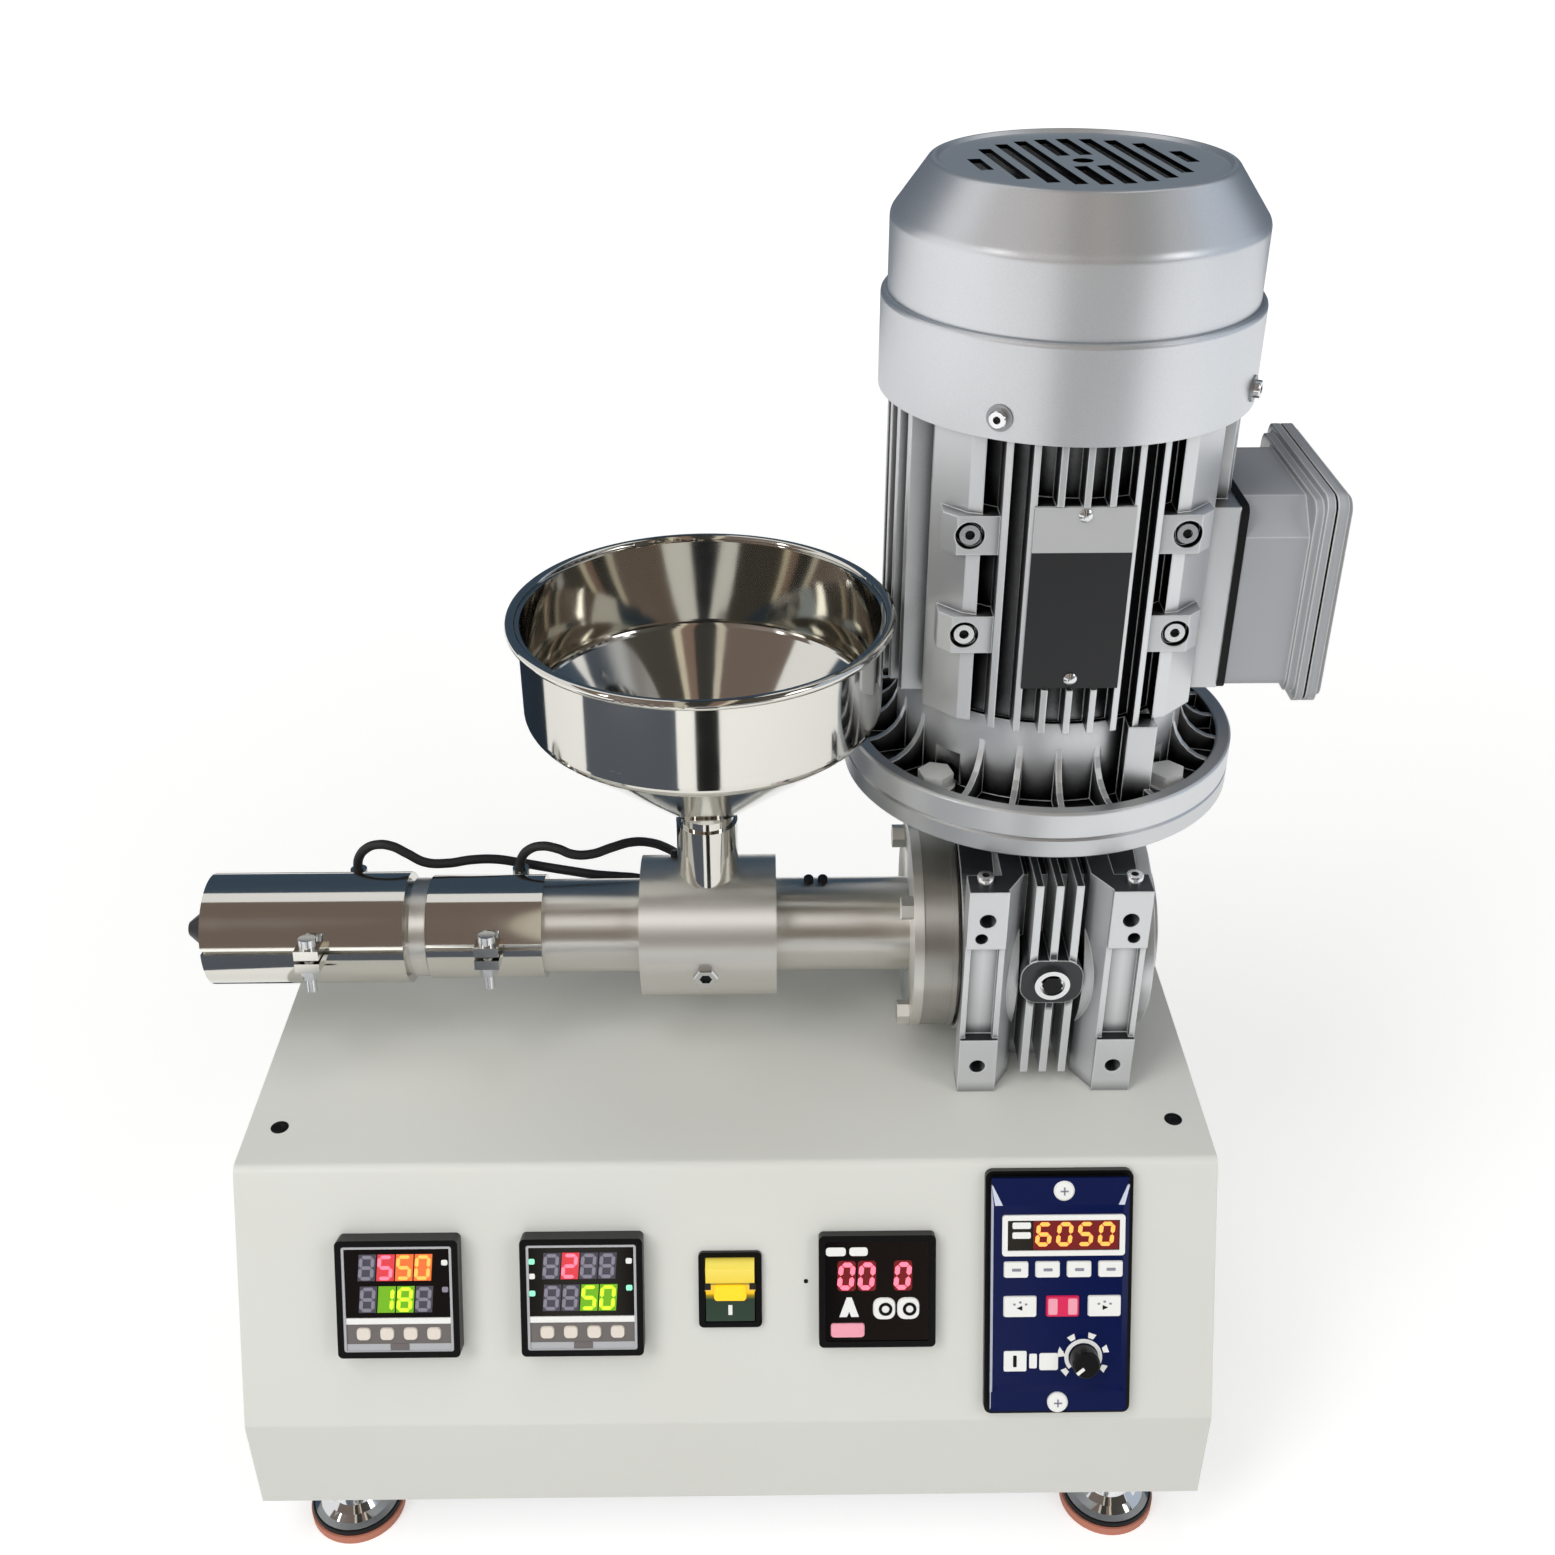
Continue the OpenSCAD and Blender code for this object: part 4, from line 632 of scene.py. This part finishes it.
# Turned steel: lines round the axis, drawn about 0.5 mm apart, a little coarser than the real tool marks
turned_steel, tree, shader, place = new_finish("turned_bright_steel", "#BDBBB5", 0.5, metallic=1.0)
lines = add(tree, "ShaderNodeMapping", {"Vector": place,
                                        "Scale": (1 / (0.5 * MM), 1 / (60 * MM), 1 / (60 * MM))})
marks = roughen(tree, shader, lines.outputs["Vector"], 1.0, 0.05 * MM, 0.06, 3.0)
depth = add(tree, "ShaderNodeMapRange", {"Value": marks, "To Min": 0.4, "To Max": 0.56})
tree.links.new(depth.outputs["Result"], shader.inputs["Roughness"])
brush_round(tree, shader, "X")
dress(turned_steel, "output_spacer")
# Satin steel: finer turning that spreads the light more, pale and a little warm
satin_steel, tree, shader, place = new_finish("satin_turned_steel", "#E8E6E0", 0.48, metallic=0.95)
brush_round(tree, shader, "X")
dress(satin_steel, "feed_collar", "barrel_ring", "barrel_flange")
# Turned aluminium in thin silver paint: soft, with lines round the motor's axis drawn 0.6 mm apart
flange_silver, tree, shader, place = new_finish("turned_silver_aluminium", "#C9CBCD", 0.36, metallic=0.95)
lines = add(tree, "ShaderNodeMapping", {"Vector": place,
                                        "Scale": (1 / (80 * MM), 1 / (80 * MM), 1 / (0.6 * MM))})
roughen(tree, shader, lines.outputs["Vector"], 1.0, 0.05 * MM, 0.08, 3.0)
dress(flange_silver, "gearbox_flange")
# Bright zinc plate: cool and shiny fasteners
bright_zinc = new_finish("bright_zinc_plate", "#DADBDC", 0.2, metallic=1.0)[0]
dress(bright_zinc, "heater_clamps", "oil_plug")
# Dull zinc plate: paler and softer than the bright fasteners
dull_zinc = new_finish("dull_zinc_plate", "#F2F2F0", 0.3, metallic=0.25)[0]
dress(dull_zinc, "flange_bolts")


def put_cap_screw(centre, axis, radius, height, socket, sides=30):
    """A socket cap screw, in millimetres: a bright head whose six-sided socket is filled with painted shade.
    """
    put_turned(mesh_of(bright_zinc), [(0, 0), (radius, 0), (radius, 0.85 * height), (0.9 * radius, height),
                                      (socket, height), (socket, 0.45 * height), (0, 0.45 * height)],
               centre, axis, sides)
    # Painted shade: a black hexagon fills the socket's floor.
    put_turned(mesh_of(black_steel_and_socket_shade), [(0, 0.46 * height), (0.97 * socket, 0.46 * height),
                                      (0.97 * socket, 0.6 * height), (0, 0.6 * height)], centre, axis, 6)


PLUG_SOCKET_R = 4.2
# Painted shade: a black hexagon on the plug's face stands for its socket.
bm = bmesh.new()
put_turned(bm, [(0, -0.4), (PLUG_SOCKET_R, -0.4), (PLUG_SOCKET_R, 0.12), (0, 0.06)],
           (plug_middle.x, plug_low.y, plug_middle.z), (0, -1, 0), 6)
make_piece("plug_socket", bm, black_steel_and_socket_shade)

gear_low, gear_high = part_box("gearbox_housing")
gear_x = (gear_low.x + gear_high.x) / 2
# Each cap screw: its head's radius and height, and its socket's radius
SHOULDER_SCREW, PAD_SCREW = (3.4, 3.6, 1.5), (4.2, 4.4, 1.8)
SHOULDER_X, SHOULDER_Y = 28.8 * MM, 7 * MM
for side in (-1, 1):
    seat = (gear_x + side * SHOULDER_X, gear_low.y + SHOULDER_Y, gear_high.z)
    put_cap_screw(seat, (0, 0, 1), *SHOULDER_SCREW)
motor_low, motor_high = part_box("motor_frame")
motor_x, motor_y = (motor_low.x + motor_high.x) / 2, (motor_low.y + motor_high.y) / 2
PAD_X, PAD_FACE, PAD_LEVELS, PAD_DEEP = 39.3 * MM, 56.3 * MM, (37.3 * MM, 77 * MM), 5 * MM
for side in (-1, 1):
    for face in (-1, 1):
        for level in PAD_LEVELS:
            seat = (motor_x + side * PAD_X, motor_y + face * (PAD_FACE - PAD_DEEP), motor_low.z + level)
            put_cap_screw(seat, (0, face, 0), *PAD_SCREW)
make_pieces("cap_screws")


# Nameplate
# A thin bare aluminium plate, dyed black below and with a plain silver field at its top.
# Two rivets hold it on a flat seat of the motor's frame.
plate_low, plate_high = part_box("nameplate")
FIELD_SHARE = 0.76
# Anodised aluminium: smooth and half matt, dyed black over its lower three quarters
anodised, tree, shader, place = new_finish("anodised_aluminium_plate", "#16171A", 0.42)
axes = add(tree, "ShaderNodeSeparateXYZ", {"Vector": place})
field_z = plate_low.z + FIELD_SHARE * (plate_high.z - plate_low.z)
field = add(tree, "ShaderNodeMath", {0: axes.outputs["Z"], 1: field_z}, operation="GREATER_THAN")
tint = add(tree, "ShaderNodeMix", {"Factor": field.outputs["Value"], "A": linear("#16171A"),
                                   "B": linear("#B4B5B5")}, data_type="RGBA")
tree.links.new(tint.outputs["Result"], shader.inputs["Base Color"])
dress(anodised, "nameplate")
RIVET = [(0, -0.3), (2.6, -0.3), (2.5, 0.5), (1.6, 1.2), (0, 1.5)]
RIVET_FROM_FOOT, RIVET_FROM_TOP = 4 * MM, 3 * MM
bm = bmesh.new()
for z in (plate_low.z + RIVET_FROM_FOOT, plate_high.z - RIVET_FROM_TOP):
    put_turned(bm, RIVET, ((plate_low.x + plate_high.x) / 2, plate_low.y, z), (0, -1, 0), 24)
make_piece("nameplate_rivets", bm, bright_zinc)


# Fan cover and fan
# A deep-drawn steel cover in silver enamel, with slots pressed through its top, over a black moulded fan.
# Four cap screws on washers hold it to the rear shield.
cover_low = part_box("fan_cover")[0]
INSIDE_REACH, SLOT_FIELD_R = 60 * MM, 46 * MM
# Silver enamel: fine metal flake under a satin clear coat, drawn 0.5 mm across so that it shows. The
# pressed disc and other faces that look up take a darker blue-grey of painted shade, and painted shade
# turns the inside and the slots' walls black.
silver_enamel, tree, shader, place = new_finish("silver_enamel", "#C6C8CB", 0.36, metallic=0.85)
flake = add(tree, "ShaderNodeTexNoise", {"Vector": place, "Scale": 1 / (0.5 * MM), "Detail": 1.0})
tint = add(tree, "ShaderNodeMix", {"Factor": flake.outputs["Fac"], "A": linear("#CDCFD2"),
                                   "B": linear("#DCDEE1")}, data_type="RGBA")
surface = add(tree, "ShaderNodeNewGeometry")
facing = add(tree, "ShaderNodeSeparateXYZ", {"Vector": surface.outputs["True Normal"]})
# Painted shade: faces that look up are tinted darker blue-grey and made less metallic.
flat = add(tree, "ShaderNodeMath", {0: facing.outputs["Z"], 1: 0.95}, operation="GREATER_THAN")
metal = add(tree, "ShaderNodeMapRange", {"Value": flat.outputs["Value"], "To Min": 0.85, "To Max": 0.3})
tree.links.new(metal.outputs["Result"], shader.inputs["Metallic"])
disc = add(tree, "ShaderNodeMix", {"Factor": flat.outputs["Value"], "A": tint.outputs["Result"],
                                   "B": linear("#929BA3")}, data_type="RGBA")
# Painted shade: within the slot field every face but the flat tops turns black, and elsewhere gaps darken by
# how little open sky they see.
gap = add(tree, "ShaderNodeAmbientOcclusion", {"Distance": INSIDE_REACH}, samples=8)
open_sky = add(tree, "ShaderNodeMapRange", {"Value": gap.outputs["AO"], "From Min": 0.3, "From Max": 0.55})
level = add(tree, "ShaderNodeVectorMath", {0: place, 1: (1, 1, 0)}, operation="MULTIPLY")
reach = add(tree, "ShaderNodeVectorMath", {0: level.outputs["Vector"], 1: (motor_x, motor_y, 0)},
            operation="DISTANCE")
beyond = add(tree, "ShaderNodeMath", {0: reach.outputs["Value"], 1: SLOT_FIELD_R}, operation="GREATER_THAN")
outside = add(tree, "ShaderNodeMath", {0: beyond.outputs["Value"], 1: flat.outputs["Value"]},
              operation="MAXIMUM")
skin = add(tree, "ShaderNodeMath", {0: outside.outputs["Value"], 1: open_sky.outputs["Result"]},
           operation="MULTIPLY")
tint = add(tree, "ShaderNodeMix", {"Factor": skin.outputs["Value"], "A": linear("#050607"),
                                   "B": disc.outputs["Result"]}, data_type="RGBA")
tree.links.new(tint.outputs["Result"], shader.inputs["Base Color"])
dress(silver_enamel, "fan_cover")
dress(black_abs, "cooling_fan")
COVER_R, COVER_SCREW_Z, FIRST_SCREW = 70 * MM, 8 * MM, -117.5
WASHER, COVER_SCREW, HEAD_OUT = [(0, 0), (4.8, 0), (4.8, 1.1), (0, 1.1)], (3.2, 2.6, 1.4), 0.9 * MM
for k in range(4):
    angle = math.radians(FIRST_SCREW + 90 * k)
    out = Vector((math.cos(angle), math.sin(angle), 0))
    head = Vector((motor_x, motor_y, cover_low.z + COVER_SCREW_Z)) + out * (COVER_R - 0.5 * MM)
    put_turned(mesh_of(zinc), WASHER, head, out, 28)
    put_cap_screw(head + out * HEAD_OUT, out, *COVER_SCREW)
make_pieces("cover_screws")


# Terminal box
# A moulded grey box and lid on the motor's right side, screwed down over one black rubber gasket on the
# motor's seat and another under the lid.
# Moulded grey ABS: even colour, half matt, with a fine grain drawn 0.7 mm across and a pale painted
# highlight on its edges
grey_abs, tree, shader, place = new_finish("moulded_grey_abs", "#A4A6AA", 0.2)
highlit_edges = painted_edge_highlight(tree, 1.2 * MM)[0]
# Painted highlight: the edges are mixed towards near white.
tint = add(tree, "ShaderNodeMix", {"Factor": highlit_edges, "A": linear("#A4A6AA"), "B": linear("#ECECEA")},
           data_type="RGBA")
tree.links.new(tint.outputs["Result"], shader.inputs["Base Color"])
soft_edge = add(tree, "ShaderNodeBevel", {"Radius": 4 * MM}, samples=8)
roughen(tree, shader, place, 0.7 * MM, 0.06 * MM, 0.1, 1.0, soft_edge.outputs["Normal"])
dress(grey_abs, "terminal_box", "terminal_lid")

lid_low, lid_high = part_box("terminal_lid")
box_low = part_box("terminal_box")[0]
lid_middle = (lid_low + lid_high) / 2
lid_half = (lid_high.y - lid_low.y) / 2 / MM


def make_gasket(name, half, corner, x0, x1):
    """A square gasket with round corners, in millimetres, between two levels along the box's axis."""
    line = rounded_outline(-half, half, -half, half, corner)
    bm = bmesh.new()
    put_slab(bm, *[[(x, lid_middle.y + u * MM, lid_middle.z + v * MM) for u, v in line] for x in (x0, x1)])
    make_piece(name, bm, black_rubber_and_hole_shade)


GASKET_T, GASKET_IN, LID_ROUND, GASKET_AIR = 1 * MM, 0.5, 6, 0.02 * MM
make_gasket("lid_gasket", lid_half - GASKET_IN, LID_ROUND,
            lid_low.x - GASKET_T + GASKET_AIR, lid_low.x - GASKET_AIR)
BOX_HALF, BOX_ROUND, SEAT_GASKET_T, SEAT_GASKET_OUT = 37.5, 3, 3 * MM, 0.5
make_gasket("seat_gasket", BOX_HALF + SEAT_GASKET_OUT, BOX_ROUND,
            box_low.x + 0.05 * MM, box_low.x + SEAT_GASKET_T)


# Barrel, heaters and hopper
# A ground steel barrel with a turned feed collar, two polished stainless band heaters and a spun stainless
# hopper on a polished tube. One six-sided screw shows on the collar, and black grub screws on top.
# Polished stainless: a clear mirror, a little warm, with soft patches from the polishing wheel
polished, tree, shader, place = new_finish("polished_stainless", "#D4D2CB", 0.07, metallic=1.0)
wheel = add(tree, "ShaderNodeTexNoise", {"Vector": place, "Scale": 1 / (14 * MM), "Detail": 2.0})
soft = add(tree, "ShaderNodeMapRange", {"Value": wheel.outputs["Fac"], "To Min": 0.05, "To Max": 0.11})
tree.links.new(soft.outputs["Result"], shader.inputs["Roughness"])
dress(polished, "hopper_bowl", "hopper_cone", "hopper_tube", "hopper_sleeve", "heater_front", "heater_rear")
# Ground steel: bright, with fine lines round the barrel that draw the light out along it
ground, tree, shader, place = new_finish("ground_steel", "#DEDCD6", 0.36, metallic=1.0)
brush_round(tree, shader, "X")
dress(ground, "barrel")
# Blackened tool steel: nearly black, with a low shine
nozzle_black = new_finish("blackened_nozzle_steel", "#1A1A1C", 0.3, metallic=0.8)[0]
dress(nozzle_black, "nozzle")

barrel_low, barrel_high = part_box("barrel")
collar_low, collar_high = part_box("feed_collar")
barrel_y, barrel_z = (barrel_low.y + barrel_high.y) / 2, (barrel_low.z + barrel_high.z) / 2
barrel_r, collar_r = (barrel_high.z - barrel_low.z) / 2, (collar_high.z - collar_low.z) / 2
collar_x = (collar_low.x + collar_high.x) / 2


def from_axis(degrees):
    """The direction out of the barrel's axis, in degrees up from straight to the front."""
    return Vector((0, -math.cos(math.radians(degrees)), math.sin(math.radians(degrees))))


COLLAR_SCREW, COLLAR_SCREW_X, COLLAR_SCREW_TURN, COLLAR_SCREW_SUNK = (5.2, 3, 2.6), -1 * MM, -8.5, 0.4 * MM
out = from_axis(COLLAR_SCREW_TURN)
head = Vector((collar_x + COLLAR_SCREW_X, barrel_y, barrel_z)) + out * (collar_r - COLLAR_SCREW_SUNK)
put_cap_screw(head, out, *COLLAR_SCREW, sides=6)
make_pieces("collar_screw")
GRUB_SCREW = [(0, -0.5), (2, -0.5), (2, 2.2), (1.4, 2.8), (0, 2.8)]
# Each grub screw: its place along the barrel from the collar's middle, its seat's radius and its turn
GRUB_SCREWS = ((-14, collar_r, 110), (41.7, barrel_r, 98), (47.6, barrel_r, 98))
bm = bmesh.new()
for x, radius, turn in GRUB_SCREWS:
    out = from_axis(turn)
    put_turned(bm, GRUB_SCREW, Vector((collar_x + x * MM, barrel_y, barrel_z)) + out * radius, out, 20)
make_piece("grub_screws", bm, black_steel_and_socket_shade)


# Heater leads
# Two sleeved heater leads rise from the bands' terminals, lie over the barrel and drop to their glands
# behind the feed collar. Their points are those of the CAD routes, from the cabinet's front-top edge.
ROUTE_ORIGIN = Vector((middle_x, top_front, 0))
FRONT_ROUTE = [
    (-157.4, 108.6, 241.5), (-156.2, 108.4, 247.1), (-152.6, 107.8, 252.1), (-147.2, 107, 254.8),
    (-141, 106.3, 254.4), (-135, 106, 250.9), (-127.8, 106.2, 246.2), (-119, 108, 244.4),
    (-109, 110.8, 244.2), (-99.5, 113.8, 242.4), (-90, 115.4, 239.6), (-79, 115.4, 237.2),
    (-67, 114.2, 235.6), (-57, 114.6, 233.4), (-48, 117.6, 230.4), (-40, 122.6, 226),
    (-33.8, 128.2, 219.6), (-29.8, 132.6, 210.6), (-28.2, 134.6, 201), (-28, 135, 188)]
REAR_ROUTE = [
    (-88.4, 108.6, 241.5), (-87.2, 108.3, 246.7), (-83.7, 107.5, 251.3), (-78.2, 106.4, 253.8),
    (-71.6, 105.4, 253.2), (-64.8, 104.4, 250.8), (-57, 106.4, 249.6), (-49, 110.6, 250),
    (-41.5, 116.2, 248.9), (-34.2, 122, 245), (-27, 127, 238.8), (-20.2, 130.8, 230.8),
    (-14.2, 133.3, 221.5), (-9.4, 134.6, 211.5), (-6.8, 135, 201), (-6, 135, 188)]
LEAD_D = 4 * MM
# Silicone sleeving: black, matt, slightly dusty
sleeving = new_finish("silicone_sleeving", "#18181A", 0.55)[0]
for name, route, length in (("front", FRONT_ROUTE, 0.1785), ("rear", REAR_ROUTE, 0.137)):
    points = [Vector(p) * MM + ROUTE_ORIGIN for p in route]
    curve = bpy.data.curves.new(f"lead_{name}", "CURVE")
    curve.dimensions = "3D"
    curve.bevel_depth = LEAD_D / 2
    curve.bevel_resolution = 5
    curve.use_fill_caps = True
    spline = curve.splines.new("BEZIER")
    spline.bezier_points.add(len(points) - 1)
    for knot, point in zip(spline.bezier_points, points):
        knot.co = point
        knot.handle_left_type = knot.handle_right_type = "AUTO"
    curve.materials.append(sleeving)
    lead = bpy.data.objects.new(f"lead_{name}", curve)
    scene.collection.objects.link(lead)
    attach(lead, "machine")
    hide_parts(f"heater_lead_{name}")


# Studio
# A white paper floor in a white surround, under a key lamp at the upper left, a fill from the right and
# weaker lamps above and in front. Cards stand out of the camera's sight, for the polished steel to mirror.
scene.view_settings.view_transform = "Standard"


def seen_directly(tree):
    """1 for what the camera, a mirror or a clear window sees, and 0 for the light that falls on things."""
    path = add(tree, "ShaderNodeLightPath")
    seen = add(tree, "ShaderNodeMath", {0: path.outputs["Is Camera Ray"], 1: path.outputs["Is Glossy Ray"]},
               operation="MAXIMUM")
    seen = add(tree, "ShaderNodeMath", {0: seen.outputs["Value"], 1: path.outputs["Is Transmission Ray"]},
               operation="MAXIMUM")
    return seen.outputs["Value"]


def stand(name, corners, finish):
    """Stands one flat sheet in the studio."""
    mesh = bpy.data.meshes.new(name)
    mesh.from_pydata(corners, [], [(0, 1, 2, 3)])
    mesh.materials.append(finish)
    sheet = bpy.data.objects.new(name, mesh)
    scene.collection.objects.link(sheet)
    return sheet


# White paper: matt, with a little light of its own for the camera and mirrors, so that it reads white
# round the shadow
FLOOR_REACH = 6.0
paper, tree, shader, place = new_finish("white_paper", "#D6D6D4", 0.95)
reach = add(tree, "ShaderNodeVectorMath", {0: place}, operation="LENGTH")
own_light = add(tree, "ShaderNodeMapRange", {"Value": reach.outputs["Value"], "From Min": 0.35,
                                             "From Max": 2.0, "To Min": 0.52, "To Max": 0.9})
glow = add(tree, "ShaderNodeMath", {0: seen_directly(tree), 1: own_light.outputs["Result"]},
           operation="MULTIPLY")
shader.inputs["Emission Color"].default_value = linear("#FFFFFF")
tree.links.new(glow.outputs["Value"], shader.inputs["Emission Strength"])
SQUARE = ((-1, -1), (1, -1), (1, 1), (-1, 1))
stand("floor", [(FLOOR_REACH * x, FLOOR_REACH * y, 0) for x, y in SQUARE], paper)

world = bpy.data.worlds.new("studio")
scene.world = world
world.use_nodes = True
tree = world.node_tree
strength = add(tree, "ShaderNodeMapRange", {"Value": seen_directly(tree), "To Min": 0.2, "To Max": 1.0})
tree.links.new(strength.outputs["Result"], tree.nodes["Background"].inputs["Strength"])
tree.nodes["Background"].inputs["Color"].default_value = (1, 1, 1, 1)

# Each card: its four corners in metres and its colour
CARDS = {
    "card_back": (((-3, 1.6, 0), (3, 1.6, 0), (3, 1.6, 4), (-3, 1.6, 4)), "#3A4C5E"),
    "card_top": (((-0.35, 0, 3.2), (0.7, 0, 3.2), (0.7, 1.7, 3.9), (-0.35, 1.7, 3.9)), "#303236"),
    "card_right": (((2.4, -1.2, 0.1), (2.4, 1.4, 0.1), (2.4, 1.4, 2.4), (2.4, -1.2, 2.4)), "#C3CEDC")}
# The front card hangs in strips, each from its left edge to the next one's
STRIPS = ((-3, "#7A6C64"), (-0.33, "#D8D0C0"), (-0.2, "#3C3B38"), (0.12, "#8A7468"), (0.3, "#E0D6C0"),
          (0.42, "#4A4640"))
STRIPS_END = 3
for k, (x0, colour) in enumerate(STRIPS):
    x1 = STRIPS[k + 1][0] if k + 1 < len(STRIPS) else STRIPS_END
    CARDS[f"strip_{k}"] = (((x0, -2.2, 0), (x1, -2.2, 0), (x1, 0.05, 3), (x0, 0.05, 3)), colour)
# Each mat lies on the floor round a middle, between two bearings from straight ahead and two reaches
MAT_Z = 0.003
MATS = {
    "mat_left": ((-0.011, 0.0085), (-74, -14), (0.35, 0.9), "#5A606B"),
    "mat_far_left": ((-0.011, 0.0085), (-160, -110), (0.2, 0.9), "#1C2836"),
    "mat_middle": ((-0.011, 0.0085), (-3, 11), (0.35, 0.9), "#0C0D10"),
    "mat_right": ((0.127, 0.0485), (-18, 34), (0.95, 2.1), "#8C8F93")}
for name, ((x, y), (left, right), (near, far), colour) in MATS.items():
    corners = []
    for bearing, reach in ((left, near), (right, near), (right, far), (left, far)):
        turn = math.radians(bearing)
        corners.append((x + reach * math.sin(turn), y - reach * math.cos(turn), MAT_Z))
    CARDS[name] = (corners, colour)
# Felt: plain cards that show in mirrors only
for name, (corners, colour) in CARDS.items():
    felt, tree, shader, place = new_finish(f"felt_{name}", "#000000", 1.0)
    shader.inputs["Emission Color"].default_value = linear(colour)
    shader.inputs["Emission Strength"].default_value = 1.0
    card = stand(name, corners, felt)
    card.visible_camera = card.visible_diffuse = card.visible_shadow = card.visible_transmission = False

# Each lamp: its place in metres, its size in metres and its power in watts
LAMPS = {"key_lamp": ((-1.27, -1.27, 1.5), 0.9, 14), "fill_lamp": ((1.46, -1.22, 1.35), 1.0, 10),
         "high_lamp": ((-0.7, -0.6, 2.1), 0.8, 8), "top_lamp": ((0.1, 0.3, 2.2), 0.8, 6),
         "front_lamp": ((-0.2, -2.0, 0.8), 1.2, 11)}
# The steel mirrors only these two, and the cards behind the other lamps
MIRRORED = ("key_lamp", "fill_lamp")
aim = (cad_box[0] + cad_box[1]) / 2
for name, (stand_at, size, power) in LAMPS.items():
    data = bpy.data.lights.new(name, "AREA")
    data.energy = power
    data.size = size
    lamp = bpy.data.objects.new(name, data)
    lamp.location = stand_at
    lamp.rotation_euler = (aim - Vector(stand_at)).to_track_quat("-Z", "Y").to_euler()
    lamp.visible_glossy = name in MIRRORED
    scene.collection.objects.link(lamp)

# The camera fitted to the photograph: its place, its turns in radians and its focal length in pixels
CAMERA_PLACE = Vector((12.795, -576.841, 650.326)) * MM
PITCH, YAW, ROLL = 0.544, 0.009, -0.003
FOCAL_PX, FRAME_PX = 1705.7, 1555
camera_data = bpy.data.cameras.new("camera")
camera_data.sensor_width = 36
camera_data.lens = camera_data.sensor_width * FOCAL_PX / FRAME_PX
camera = bpy.data.objects.new("camera", camera_data)
camera.matrix_world = (Matrix.Translation(CAMERA_PLACE) @ Matrix.Rotation(-YAW, 4, "Z")
                       @ Matrix.Rotation(math.pi / 2 - PITCH, 4, "X") @ Matrix.Rotation(ROLL, 4, "Z"))
scene.collection.objects.link(camera)
scene.camera = camera
